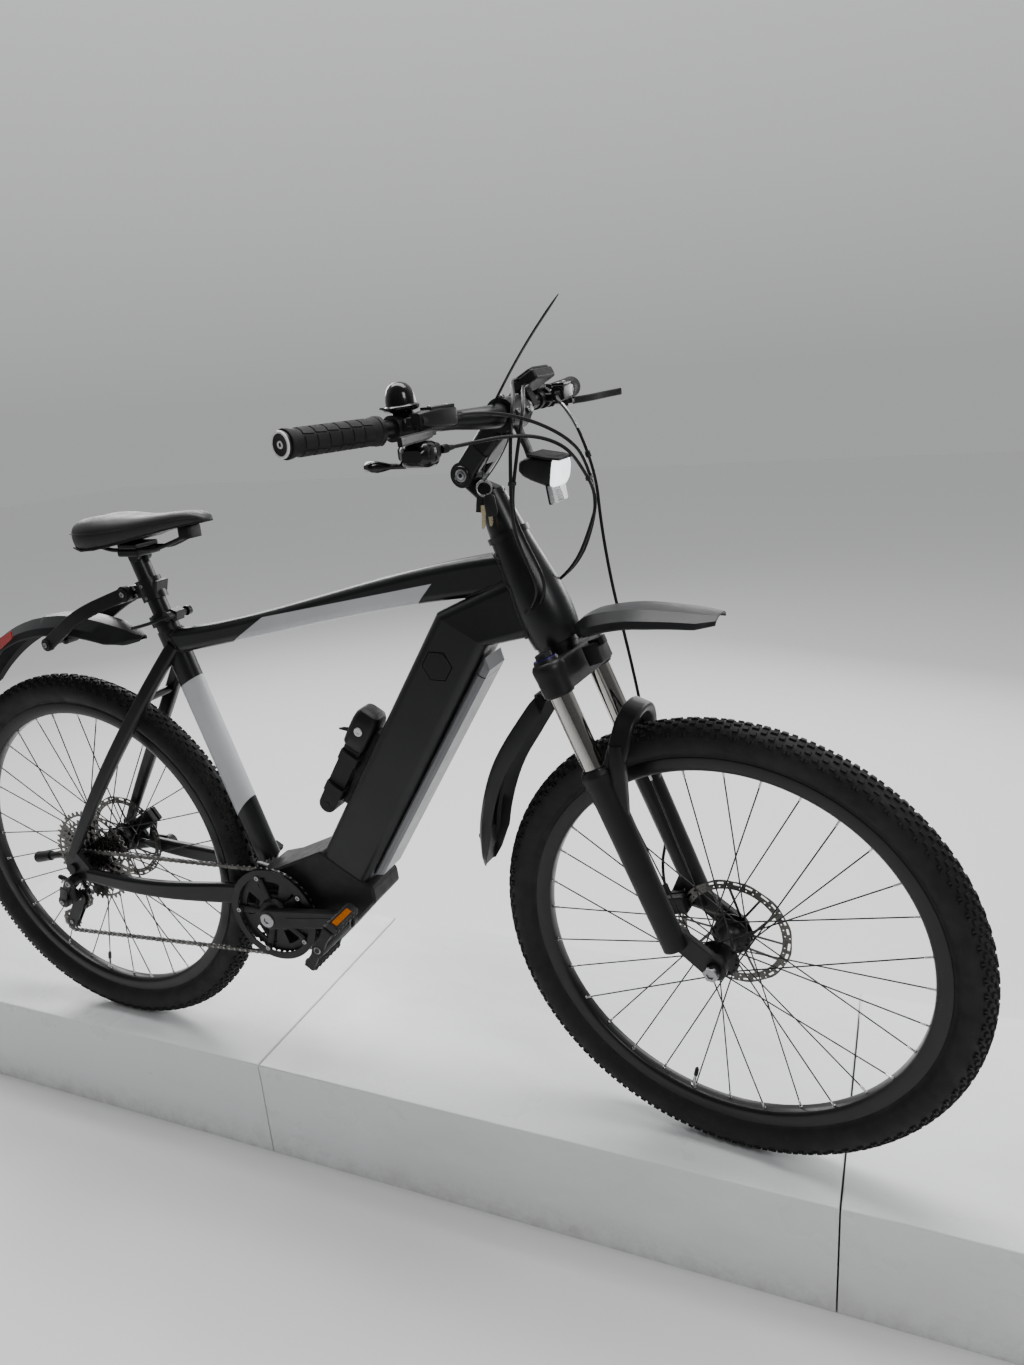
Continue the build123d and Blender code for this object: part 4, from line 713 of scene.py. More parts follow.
def spoke_ends(index, flange_y):
    """Where one spoke of a flange starts and ends, three crossed."""
    step = 360 / SPOKES
    side = 1 if flange_y > 0 else -1
    leading = 1 if index % 2 else -1
    start_angle = index * step + (0 if side > 0 else step / 2)
    end_angle = start_angle + leading * 3 * step
    x, z = around(FLANGE_R, start_angle)
    start = Vector((x, flange_y + 0.0026 * leading, z))
    x, z = around(RIM_INSIDE - 0.0002, end_angle)
    return start, Vector((x, side * 0.0035, z)), leading


def spokes_piece(matrix, end_name, flanges):
    """Laced spokes with their bent heads in the flanges and their nipples at the rim."""
    shape = Shape(matrix)
    for flange_y in flanges:
        for index in range(SPOKES):
            start, end, leading = spoke_ends(index, flange_y)
            along = (end - start).normalized()
            shape.mark = 0
            shape.rod(start + along * 0.001, end - along * 0.012, 0.00115, 10)
            inner = start - SIDE * (0.0052 * leading)
            shape.sweep([inner, start, start + along * 0.003], circle(0.00105, 8))
            shape.lathe([(0, 0.0019), (0.0010, 0.0019), (0.0016, 0.0009)], inner, -SIDE * leading, 10)
            shape.mark = 1
            shape.lathe(
                [(0, 0.0012), (0.0004, 0.0017), (0.0100, 0.0019), (0.0104, 0.0024), (0.0125, 0.0024)],
                end - along * 0.0115, along, 10,
            )
    shape.object(
        f"{end_name}_laced_spokes", [SPOKE, SILVER], f"{end_name}_wheel", "spoke_black",
        [f"{end_name}_spokes"],
    )


def disc_brake_rotor(shape, y):
    """A braking ring with slots and small holes, on slim crossed arms."""
    shape.mark = 1
    outline = []
    for i in range(216):
        degrees = i / 216 * 360
        outline.append(around(0.0898 - 0.0007 * (1 + math.cos(math.radians(degrees * 12))), degrees))
    holes = [[around(0.0745, -a) for a in range(0, 360, 3)]]
    for k in range(12):
        middle = k * 30
        holes.append(slot_loop(0.0845, middle + 5, 9, 0.0036))
        holes.append(slot_loop(0.0845, middle + 17, 7, 0.0036))
        for radius, at in ((0.0858, 25), (0.0788, 23), (0.0785, 8), (0.0785, 15)):
            holes.append(circle(0.0015, 8, around(radius, middle + at)))
    press(shape, [outline] + holes, (0, y, 0), AHEAD, -UP, ROTOR_THICK)
    for k in range(6):
        for swing, thick in ((34, 0.0042), (-3, 0.0036)):
            ends = (around(0.027, k * 60), around(0.0765, k * 60 + swing))
            shape.sweep([(x, y, z) for x, z in ends], rounded(thick, 0.0017, 0.0004, 1), hint=SIDE)
    bolts = [around(0.0225, k * 60 + 30) for k in range(6)]
    carrier = [circle(0.0305, 48)] + [circle(0.0022, 10, at) for at in bolts] + [circle(0.0165, 36)]
    press(shape, carrier, (0, y, 0), AHEAD, -UP, ROTOR_THICK)
    shape.mark = 2
    for x, z in bolts:
        shape.bolt((x, y + ROTOR_THICK / 2, z), SIDE, 0.0036, 0.0021, 12)


def hub_piece(matrix, end, ends, flanges, barrel, rotor_y):
    """A hub shell between two flanges, with its brake rotor."""
    low, high = ends
    left, right = max(flanges), min(flanges)
    bore = 0.00605
    shape = Shape(matrix)
    profile = [
        (low, bore), (low, 0.0092), (low + 0.002, 0.0098), (right - 0.006, 0.0125),
        (right - 0.0022, 0.0185), (right - 0.0016, 0.0292), (right - 0.0008, 0.0300),
        (right + 0.0008, 0.0300), (right + 0.0016, 0.0292), (right + 0.0024, 0.0205),
        (right + 0.007, barrel + 0.0016), (right + 0.014, barrel), (left - 0.014, barrel),
        (left - 0.007, barrel + 0.0016), (left - 0.0024, 0.0205), (left - 0.0016, 0.0292),
        (left - 0.0008, 0.0300), (left + 0.0008, 0.0300), (left + 0.0016, 0.0292),
        (left + 0.0024, 0.0235), (rotor_y - 0.0009, 0.0235), (rotor_y - 0.0009, 0.0290),
        (rotor_y - 0.0008, 0.0150), (rotor_y + 0.0035, 0.0142), (rotor_y + 0.0045, 0.0108),
        (high - 0.001, 0.0098), (high, 0.0092), (high, bore),
    ]
    shape.lathe(profile, count=64, closed=True)
    disc_brake_rotor(shape, rotor_y + 0.00095)
    shape.object(
        f"{end}_hub_and_rotor", [CAST_BLACK, ROTOR_STEEL, STEEL], f"{end}_wheel", "cast_black",
        [f"{end}_hub"],
    )


def build_wheels():
    for end, centre, side, flanges, ends, barrel, rotor_y in (
        ("front", FRONT_AXLE, FRONT_SIDE, (-0.033, 0.026), (-0.0507, 0.0507), 0.014, 0.038),
        ("rear", REAR_AXLE, SIDE, (-0.019, 0.036), (-0.0236, 0.0717), 0.016, 0.0575),
    ):
        matrix = wheel_matrix(centre, side)
        tyre_piece(matrix, end)
        rim_piece(matrix, end)
        spokes_piece(matrix, end, flanges)
        hub_piece(matrix, end, ends, flanges, barrel, rotor_y)


# ---------------------------------------------------------------- chain drive
PITCH = 0.0127
CHAIN_Y = bike(0, -0.056, 0).y
RING_TEETH, COG_TEETH, PULLEY_TEETH = 42, 13, 11
# the crank arms' outer and inner faces, on the right at -1 and on the left at 1
ARM_OUTER = {-1: bike(0, -0.082, 0).y, 1: bike(0, 0.074, 0).y}
ARM_INNER = {-1: bike(0, -0.068, 0).y, 1: bike(0, 0.060, 0).y}
ROLLER_R, BITE = 0.0039, 0.0044


def pitch_radius(teeth):
    return teeth * PITCH / (2 * math.pi)


def flat(point):
    return Vector((point.x, point.z))


class ChainLine:
    """The chain's closed line in the side view, round the ring, two pulleys and a cog."""

    def __init__(self):
        guide, tension = flat(place("guide_pulley_spin")), flat(place("tension_pulley_spin"))
        pulley = pitch_radius(PULLEY_TEETH)
        stops = [(flat(CRANK), pitch_radius(RING_TEETH), 1), (tension, pulley, 1), (guide, pulley, -1)]
        stops.append((flat(REAR_AXLE), pitch_radius(COG_TEETH), 1))
        runs = []
        for (a, ra, sa), (b, rb, sb) in zip(stops, stops[1:] + stops[:1]):
            across = b - a
            k = sa * ra - sb * rb
            run = math.sqrt(across.length_squared - k * k)
            angle = math.atan2(across.y, across.x) - math.atan2(k, run)
            normal = Vector((-math.sin(angle), math.cos(angle)))
            runs.append((a + normal * (sa * ra), b + normal * (sb * rb)))
        self.parts = []
        for index, (start, end) in enumerate(runs):
            self.parts.append(("run", (end - start).length, start, end))
            centre, radius, sense = stops[(index + 1) % len(stops)]
            leave = runs[(index + 1) % len(runs)][0]
            first = math.atan2(end.y - centre.y, end.x - centre.x)
            last = math.atan2(leave.y - centre.y, leave.x - centre.x)
            span = (first - last) * sense % (2 * math.pi)
            self.parts.append(("arc", span * radius, centre, (radius, first, -sense)))
        self.length = sum(part[1] for part in self.parts)

    def at(self, s):
        """The point s along the chain."""
        s %= self.length
        for kind, length, first, second in self.parts:
            if s <= length:
                if kind == "run":
                    return first.lerp(second, s / length)
                radius, angle, sense = second
                a = angle + sense * s / radius
                return first + Vector((math.cos(a), math.sin(a))) * radius
            s -= length
        return self.parts[0][2]


def link_loop(half, end_r, waist):
    """A link plate's outline: two round ends and a waist."""
    points = []
    for side in (1, -1):
        for degrees in range(-70, 71, 28):
            x, y = around(end_r, degrees)
            points.append((side * (half + x), side * y))
        points.append((0, side * waist))
    return points


def build_chain():
    line = ChainLine()
    count = 2 * round(line.length / PITCH / 2)
    step = line.length / count
    spots = [line.at(i * step) for i in range(count)]
    spots = [Vector((p.x, CHAIN_Y, p.y)) for p in spots]
    shape = Shape()
    for i, (a, b) in enumerate(zip(spots, spots[1:] + spots[:1])):
        along = (b - a).normalized()
        up, _ = square_to(along, UP if abs(along.z) < 0.9 else AHEAD)
        outer = i % 2
        loop = link_loop(step / 2, 0.0041 if outer else 0.0038, 0.0026 if outer else 0.0029)
        for y in ((-0.0024, 0.0024) if outer else (-0.0015, 0.0015)):
            shape.slab(loop, (a + b) / 2 + SIDE * (y - 0.0004), along, up, 0.0008)
        shape.mark = 1
        shape.rod(a - SIDE * 0.0030, a + SIDE * 0.0030, 0.0016, 8)
        shape.rod(a - SIDE * 0.0010, a + SIDE * 0.0010, ROLLER_R - 0.0001, 12)
        shape.mark = 0
    shape.object("drive_chain", [CHAIN_STEEL, STEEL], "frame", "chain_steel", ["chain"])
    return spots


def tooth_phase(spots, centre, radius):
    """The angle of a roller lying on a sprocket, which the teeth stand beside."""
    at = flat(centre)
    near = min(spots, key=lambda p: abs((flat(p) - at).length - radius) + 0.05 * abs(p.z - at.y))
    return math.degrees(math.atan2(near.z - at.y, near.x - at.x))


def toothed(teeth, phase, root, tip):
    """A sprocket's outline."""
    step = 360 / teeth
    loop = []
    for k in range(teeth):
        middle = phase + (k + 0.5) * step
        for offset, radius in ((-0.30, root), (-0.13, tip), (0.10, tip), (0.28, root)):
            loop.append(around(radius, middle + offset * step))
    return loop


def sprocket(shape, centre, y, teeth, phase, thick, holes=(), low=False):
    """A flat sprocket; low teeth stay below the rollers that lie over them."""
    radius = pitch_radius(teeth)
    root = radius - (0.0082 if low else 0.0038)
    tip = radius - BITE if low else radius + 0.0026
    at = (centre.x, y, centre.z)
    press(shape, [toothed(teeth, phase, root, tip)] + list(holes), at, (-1, 0, 0), UP, thick)


def build_cassette(spots):
    shape = Shape()
    cogs = (46, 38, 32, 27, 23, 19, 16, COG_TEETH)
    for index, teeth in enumerate(reversed(cogs)):
        y = CHAIN_Y + index * 0.004
        radius = pitch_radius(teeth)
        phase = 180 - tooth_phase(spots, REAR_AXLE, radius) if index == 0 else index * 7
        holes = [circle(0.0172, 36)]
        if radius > 0.045:
            wide = radius - 0.0075
            holes += [
                slot_loop((wide + 0.030) / 2 + 0.003, k * 60 + index * 9, 34, wide - 0.036, 5)
                for k in range(6)
            ]
            holes += [circle(0.0022, 8, around(wide - 0.001, k * 60 + 30 + index * 9)) for k in range(6)]
        sprocket(shape, REAR_AXLE, y, teeth, phase, 0.0018, holes, low=index == 0)
    shape.mark = 1
    axis = Vector((REAR_AXLE.x, 0, REAR_AXLE.z))
    low, high = CHAIN_Y - 0.006, CHAIN_Y + 0.032
    shape.lathe(
        [(low, 0.0062), (low, 0.0120), (low + 0.001, 0.0135), (low + 0.003, 0.0165), (low + 0.005, 0.0176),
         (high, 0.0176), (high, 0.0062)],
        axis, SIDE, 36, closed=True,
    )
    for k in range(12):
        x, z = around(0.0138, k * 30)
        shape.rod(axis + Vector((x, low - 0.0006, z)), axis + Vector((x, low + 0.004, z)), 0.0014, 6)
    end = REAR_AXLE.y - 0.0717
    shape.lathe(
        [(end, 0.0061), (end, 0.0108), (end + 0.0097, 0.0110), (end + 0.0097, 0.0061)], axis, SIDE, 28,
        closed=True
    )
    shape.object("cassette_cogs", [COG_STEEL, CAST_BLACK], "cassette", "plain_steel", ["cassette"])


def build_pulleys(spots):
    for name in ("guide_pulley", "tension_pulley"):
        centre = place(f"{name}_spin")
        shape = Shape()
        phase = 180 - tooth_phase(spots, centre, pitch_radius(PULLEY_TEETH))
        holes = [circle(0.0041, 20)] + [circle(0.0016, 8, around(0.0092, k * 60)) for k in range(6)]
        sprocket(shape, centre, CHAIN_Y, PULLEY_TEETH, phase, 0.0022, holes, low=True)
        shape.mark = 1
        axis = Vector((centre.x, 0, centre.z))
        shape.lathe(
            [(CHAIN_Y - 0.0032, 0.00405), (CHAIN_Y - 0.0032, 0.0070), (CHAIN_Y + 0.0032, 0.0070),
             (CHAIN_Y + 0.0032, 0.00405)],
            axis, SIDE, 24, closed=True,
        )
        shape.object(f"{name}_wheel", [PLASTIC, STEEL], name, "black_plastic", [name])


def build_chainring(spots):
    """A narrow-wide ring on a four-window spider, with an outer guard and its bolts."""
    shape = Shape()
    phase = 180 - tooth_phase(spots, CRANK, pitch_radius(RING_TEETH))
    windows = [slot_loop(0.049, k * 72 + 12, 46, 0.026, 8) for k in range(5)]
    sprocket(shape, CRANK, CHAIN_Y, RING_TEETH, phase, 0.0028, [circle(0.0128, 32)] + windows, low=True)
    axis = Vector((CRANK.x, 0, CRANK.z))
    ring_r = pitch_radius(RING_TEETH)
    guard_y = bike(0, -0.0640, 0).y
    press(
        shape, [circle(ring_r + 0.0038, 120), circle(ring_r - 0.0100, 120)], axis + SIDE * guard_y,
        (-1, 0, 0), UP,
        0.0022, 0.0005,
    )
    shape.mark = 1
    arm_y = bike(0, -0.0682, 0).y
    shape.lathe(
        [(arm_y, 0.0122), (arm_y, 0.0270), (arm_y + 0.0015, 0.0282), (CHAIN_Y - 0.0016, 0.0300),
         (CHAIN_Y - 0.0016, 0.0122)],
        axis, SIDE, 48, closed=True,
    )
    for k in range(5):
        x, z = around(ring_r - 0.0110, 36 + k * 72)
        foot = axis + Vector((x, 0, z))
        shape.mark = 1
        shape.lathe([(guard_y + 0.0012, 0.0062), (CHAIN_Y - 0.0014, 0.0062)], foot, SIDE, 20)
        fx, fz = around(0.026, 36 + k * 72)
        shape.sweep(
            [axis + Vector((fx, CHAIN_Y - 0.0035, fz)), axis + Vector((x, CHAIN_Y - 0.0035, z))],
            rounded(0.012, 0.0036, 0.001, 2), hint=SIDE,
        )
        shape.mark = 2
        shape.bolt(foot + SIDE * (guard_y - 0.0011), -SIDE, 0.0046, 0.0022)
    shape.object(
        "chainring_and_guard", [CAST_BLACK, PLASTIC, STEEL], "crank", "cast_black", ["chainring"], sharp=30
    )


def build_crank_details():
    """Bolts, washers and the arms' thread ends, on the CAD arms."""
    ease(["crank_arms"], 0.0016)
    shape = Shape()
    for joint, side in (("right_pedal_spin", -1), ("left_pedal_spin", 1)):
        outer = ARM_OUTER[side]
        out = SIDE * side
        centre = Vector((CRANK.x, outer, CRANK.z))
        shape.mark = 1
        shape.lathe(
            [(0, 0.0138), (0.0016, 0.0138), (0.0026, 0.0126), (0.0026, 0.0060), (0.0006, 0.0056)], centre,
            out, 36
        )
        end = place(joint)
        inner = ARM_INNER[side]
        shape.lathe(
            [(0, 0.0060), (0.0012, 0.0060), (0.0012, 0.0030), (0.0003, 0.0030)],
            Vector((end.x, inner, end.z)), -out, 20,
        )
        along = (Vector((end.x, outer, end.z)) - centre).normalized()
        shape.mark = 0
        shape.slab(
            rounded(0.098, 0.009, 0.0042, 4),
            centre + along * 0.088, along * side, along.cross(-SIDE), 0.0008, 0.0004,
        )
    shape.object("crank_bolts", [CAST_BLACK, STEEL], "crank", "plain_steel")


def amber():
    """A moulded reflector: small prisms under a clear coloured skin, each prism lighter in its middle and
    darker at its edges as painted highlight and shade.
    """
    n = Nodes("amber_lens")
    facets = n.cells(900)
    # painted highlight and shade: each prism lighter in its middle, darker at its edges
    n.colour(n.mix(n.ramp(facets, 0.1, 0.7), (0.55, 0.16, 0.010), (0.26, 0.065, 0.004)))
    n.set(Roughness=0.18, Coat_Weight=1.0, Coat_Roughness=0.04)
    n.normal(n.bump(facets, 0.4, 0.0004))
    return n.material


AMBER = amber()
PEDAL_TILT = math.radians(58)


def pedal_piece(joint, side):
    """A resin platform: end bars with teeth and reflectors, side rails and a stout middle."""
    end = place(joint)
    inner = ARM_OUTER[side]
    middle = Vector((end.x, inner + side * 0.048, end.z))
    ahead = Vector((math.cos(PEDAL_TILT), 0, math.sin(PEDAL_TILT)))
    up = ahead.cross(SIDE)
    shape = Shape(Matrix.Translation(middle) @ Matrix((ahead, SIDE, up)).transposed().to_4x4())
    long, wide = 0.094, 0.084
    bar = rounded(0.0105, 0.0195, 0.0022, 2)
    for x in (-1, 1):
        at = x * (long / 2 - 0.0055)
        shape.mark = 0
        shape.sweep([(at, -wide / 2 + 0.004, 0), (at, wide / 2 - 0.004, 0)], bar, hint=UP)
        for k in range(7):
            y = -0.033 + k * 0.011
            for z in (-1, 1):
                shape.rings([
                    [(at + dx * half, y + dy * deep, z * up_at) for dx, dy in SQUARE]
                    for half, deep, up_at in ((0.0048, 0.0036, 0.0085), (0.0030, 0.0018, 0.0122))
                ])
        shape.mark = 1
        front = x * (long / 2 - 0.0004)
        shape.slab(rounded(0.046, 0.0105, 0.0015, 2), (front, 0, 0), SIDE * x, (0, 0, 1), 0.0022, 0.0006)
        shape.mark = 0
        for z in (-1, 1):
            shape.sweep(
                [(front, -0.026, z * 0.0074), (front + x * 0.0014, 0, z * 0.0074),
                 (front, 0.026, z * 0.0074)],
                rounded(0.0034, 0.0030, 0.0008, 1), hint=UP,
            )
    for y in (-1, 1):
        at = y * (wide / 2 - 0.004)
        rail = [
            (-long / 2 + 0.004, at, 0), (-0.018, at, 0), (0, at, 0), (0.018, at, 0), (long / 2 - 0.004, at, 0)
        ]
        shape.sweep(
            rail, rounded(0.0085, 0.016, 0.002, 2), hint=UP,
            scales=[(1, 1.15), (1, 0.9), (1, 1.35), (1, 0.9), (1, 1.15)]
        )
    bore = 0.00456
    shape.lathe(
        [(-wide / 2, bore), (-wide / 2, 0.0115), (-0.034, 0.0128), (0.034, 0.0128), (wide / 2, 0.0115),
         (wide / 2, bore)],
        count=32, closed=True,
    )
    for y in (-0.022, 0.0, 0.022):
        for x in (-1, 1):
            shape.sweep(
                [(x * 0.011, y, 0), (x * (long / 2 - 0.008), y, 0)], rounded(0.005, 0.012, 0.001, 1), hint=UP
            )
    name = "right" if side < 0 else "left"
    shape.mark = 2
    shape.lathe([(0, 0.0062), (0.0010, 0.0062), (0.0016, 0.0050)], (0, side * wide / 2, 0), SIDE * side, 20)
    shape.object(
        f"{name}_pedal_platform", [PLASTIC, AMBER, STEEL], f"{name}_pedal", "black_plastic", [f"{name}_pedal"]
    )


def build_derailleur():
    """Links, springs, screws and the cable's end, over the CAD body and cage."""
    ease(["derailleur_body", "derailleur_cage"], 0.0012)
    shape = Shape()
    hanger, knuckle = bike(0, -0.088, 0.344), bike(-0.032, -0.082, 0.297)
    for offset in (-0.0065, 0.0065):
        shape.sweep(
            [hanger + Vector((-0.012, -0.009 + offset, -0.010)),
             knuckle + Vector((0.006, -0.009 + offset, 0.012))],
            rounded(0.0042, 0.015, 0.0014, 2), hint=Vector((1, 0, 0.3)),
        )
    shape.lathe(
        [(0, 0.0125), (0.003, 0.0135), (0.010, 0.0130), (0.0125, 0.0105)], knuckle + SIDE * -0.002, -SIDE, 32
    )
    shape.lathe([(0, 0.0092), (0.004, 0.0098), (0.006, 0.0085)], hanger + SIDE * -0.006, -SIDE, 28)
    shape.mark = 1
    shape.bolt(hanger + SIDE * -0.0125, -SIDE, 0.0060, 0.0030)
    shape.bolt(knuckle + SIDE * -0.0148, -SIDE, 0.0046, 0.0024)
    for centre in (place("guide_pulley_spin"), place("tension_pulley_spin")):
        shape.bolt(Vector((centre.x, CHAIN_Y - 0.0068, centre.z)), -SIDE, 0.0042, 0.0018)
        shape.bolt(Vector((centre.x, CHAIN_Y + 0.0068, centre.z)), SIDE, 0.0042, 0.0018)
    for k in range(2):
        shape.rod(
            hanger + Vector((-0.016 - 0.006 * k, -0.004, 0.002)),
            hanger + Vector((-0.022 - 0.006 * k, -0.004, -0.006)), 0.0016, 10
        )
    shape.mark = 2
    entry = bike(-0.030, -0.079, 0.338)
    shape.lathe(
        [(0, 0.0042), (0.006, 0.0050), (0.016, 0.0046), (0.018, 0.0034)], entry, Vector((-0.9, 0.0, 0.25)), 18
    )
    shape.object("derailleur_links", [CAST_BLACK, STEEL, PLASTIC], "frame", "cast_black")


def build_drive():
    spots = build_chain()
    build_cassette(spots)
    build_pulleys(spots)
    build_chainring(spots)
    build_crank_details()
    pedal_piece("right_pedal_spin", -1)
    pedal_piece("left_pedal_spin", 1)
    build_derailleur()


# ---------------------------------------------------------------- fork and cockpit places
HEAD_ANGLE = math.radians(68)
FORK_UP = Vector((-math.cos(HEAD_ANGLE), 0, math.sin(HEAD_ANGLE)))
FORK_AHEAD = Vector((math.sin(HEAD_ANGLE), 0, math.cos(HEAD_ANGLE)))
FORK_FOOT = FRONT_AXLE - STEER @ FORK_AHEAD * 0.052


def fork(up, ahead=0.0, left=0.0):
    """A point up the steering axis, ahead of it and to its left, as the fork stands at rest."""
    return FORK_FOOT + STEER @ (FORK_UP * up + FORK_AHEAD * ahead + SIDE * left)


def turned(direction):
    """A direction on the front assembly, given as if it pointed straight ahead."""
    return STEER @ Vector(direction).normalized()


BAR_LEFT, BAR_UP = turned((0, 1, 0)), turned((0, 0, 1))  # left and up as the bars stand at rest
BEND_OUT, BAR_TIP = Vector((0.917, 0.100, 1.161)), Vector((0.869, 0.372, 1.168))
BAR_OUT = (BAR_TIP - BEND_OUT).normalized()


def bar_at(left, ahead=0.0, out=0.0, up=0.0):
    """A point on the bar's outer stretch on one side, moved by ahead, out to the left and up."""
    point = BEND_OUT + BAR_OUT * ((abs(left) - BEND_OUT.y) / BAR_OUT.y)
    return steered(point.x + ahead, math.copysign(point.y, left) + out, point.z + up)


def bar_way(side):
    """Outwards along the bar, on the right at side -1 and on the left at 1."""
    return turned((BAR_OUT.x, side * BAR_OUT.y, BAR_OUT.z))


PAD_H, PAD_STEPS = 0.0011, 3  # a grip block's height and its cells along each side


def pad(shape, origin, axis, radius, along, turn):
    """A raised block wrapped on a cylinder between two distances along it and two angles."""
    u, v = square_to(axis)
    steps = PAD_STEPS

    def grid(lift, inset):
        rows = []
        for i in range(steps + 1):
            s = along[0] + inset + (along[1] - along[0] - 2 * inset) * i / steps
            skew = (s - along[0]) * 5.0
            for j in range(steps + 1):
                slack = inset / radius
                a = turn[0] + slack + (turn[1] - turn[0] - 2 * slack) * j / steps + skew
                rows.append(origin + axis * s + (u * math.cos(a) + v * math.sin(a)) * (radius + lift))
        return rows

    size = steps + 1
    bottom, top = grid(-0.0004, 0.0), grid(PAD_H, 0.0006)
    faces = []
    count = size * size
    for i in range(steps):
        for j in range(steps):
            a = i * size + j
            faces.append((a, a + size, a + size + 1, a + 1))
            faces.append((count + a, count + a + 1, count + a + size + 1, count + a + size))
    rim = list(range(size)) + [i * size + steps for i in range(1, size)]
    rim += [steps * size + j for j in range(steps - 1, -1, -1)] + [i * size for i in range(steps - 1, 0, -1)]
    for a, b in zip(rim, rim[1:] + rim[:1]):
        faces.append((a, b, count + b, count + a))
    shape.add(bottom + top, faces)


GRIP_IN, GRIP_OUT, GRIP_R = 0.228, 0.368, 0.0165
BAR_SLEEVE = 0.0113  # the inner radius of what sits on the bar's outer ends


def build_grips():
    """Locking grips: slanted blocks, a clamp ring and a white end ring."""
    shape = Shape()
    for side in (-1, 1):
        axis = bar_way(side)
        start = bar_at(side * GRIP_IN)
        length = (bar_at(side * GRIP_OUT) - start).length
        shape.mark = 0
        body = GRIP_R - 0.0011
        shape.lathe(
            [(0.0075, BAR_SLEEVE), (0.0075, GRIP_R + 0.0005), (0.013, GRIP_R + 0.0005), (0.0165, body),
             (length - 0.012, body), (length - 0.006, GRIP_R + 0.0004),
             (length - 0.001, GRIP_R + 0.0009), (length, GRIP_R + 0.0002),
             (length, BAR_SLEEVE)],
            start, axis, 48, closed=True,
        )
        for row in range(6):
            first = math.radians(row * 60)
            for step in range(6):
                low = 0.019 + step * 0.0178
                pad(shape, start, axis, body, (low, low + 0.0160), (first, first + math.radians(52)))
        shape.mark = 1
        shape.lathe(
            [(0.0, BAR_SLEEVE), (0.0, GRIP_R + 0.0008), (0.0006, GRIP_R + 0.0014), (0.0064, GRIP_R + 0.0014),
             (0.0072, GRIP_R + 0.0006), (0.0072, BAR_SLEEVE)],
            start, axis, 48, closed=True,
        )
        shape.bolt(
            start + axis * 0.0035 + turned((0.4, 0, -0.9)) * (GRIP_R + 0.0004), turned((0.4, 0, -0.9)),
            0.0026, 0.0016
        )
        end = start + axis * length
        shape.lathe(
            [(0.0002, 0.0150), (0.0030, 0.0154), (0.0052, 0.0146), (0.0056, 0.0128), (0.0050, 0.0100)], end,
            axis, 48
        )
        shape.mark = 2
        shape.lathe(
            [(0.0040, 0.0153), (0.0057, 0.0147), (0.0062, 0.0136), (0.0057, 0.0124), (0.0048, 0.0124)], end,
            axis, 48, closed=True
        )
        shape.lathe(
            [(0.0050, 0.0045), (0.0060, 0.0042), (0.0060, 0.0026), (0.0050, 0.0024)], end, axis, 28,
            closed=True
        )
    shape.object("block_grips", [GRIP, CAST_BLACK, WHITE_TRIM], "bar", "grip_rubber", ["grips"])


def build_brakes():
    """Master cylinders with covers, boots and clamp bolts on the CAD perches, and the levers' pivots."""
    ease(["brake_perches", "right_brake_lever", "left_brake_lever", "shifter_pod", "shift_lever"], 0.0014)
    shape = Shape()
    for side in (-1, 1):
        inner = bar_at(side * 0.200, 0.052, -side * 0.050, 0.008)
        outer = bar_at(side * 0.200, 0.040, side * 0.012, 0.009)
        along = (outer - inner).normalized()
        up, _ = square_to(along)
        shape.mark = 0
        shape.sweep(
            [inner, inner + along * 0.004, inner + along * 0.030, inner + along * 0.048, outer],
            rounded(0.021, 0.023, 0.004, 3),
            scales=[(0.9, 0.9), (1, 1), (1.03, 1.02), (0.95, 0.9), (0.72, 0.7)],
        )
        shape.sweep(
            [inner + along * 0.003 + up * 0.0125, inner + along * 0.044 + up * 0.0118],
            rounded(0.019, 0.0034, 0.0012, 2),
        )
        shape.mark = 1
        for s in (0.008, 0.038):
            shape.bolt(inner + along * s + up * 0.0136, up, 0.0026, 0.0014, 14)
        shape.bolt(bar_at(side * 0.200, 0.018, 0, 0.0085), turned((0.2, 0, 1)), 0.0036, 0.0022, 16)
        pin = bar_at(side * 0.196, 0.042, 0, -0.006)
        shape.lathe([(0, 0.0045), (0.0016, 0.0045), (0.0022, 0.0034)], pin + BAR_UP * 0.0120, BAR_UP, 18)
        shape.lathe([(0, 0.0042), (0.0014, 0.0042), (0.0018, 0.0032)], pin - BAR_UP * 0.0072, -BAR_UP, 18)
        shape.mark = 2
        shape.lathe(
            [(-0.002, 0.0060), (0.003, 0.0062), (0.008, 0.0050), (0.012, 0.0044), (0.016, 0.0038)],
            inner, -along if side < 0 else turned((0.12, -0.32, -1.0)), 20,
        )
    shape.object("brake_reservoirs", [CAST_BLACK, STEEL, HOSE], "bar", "cast_black")


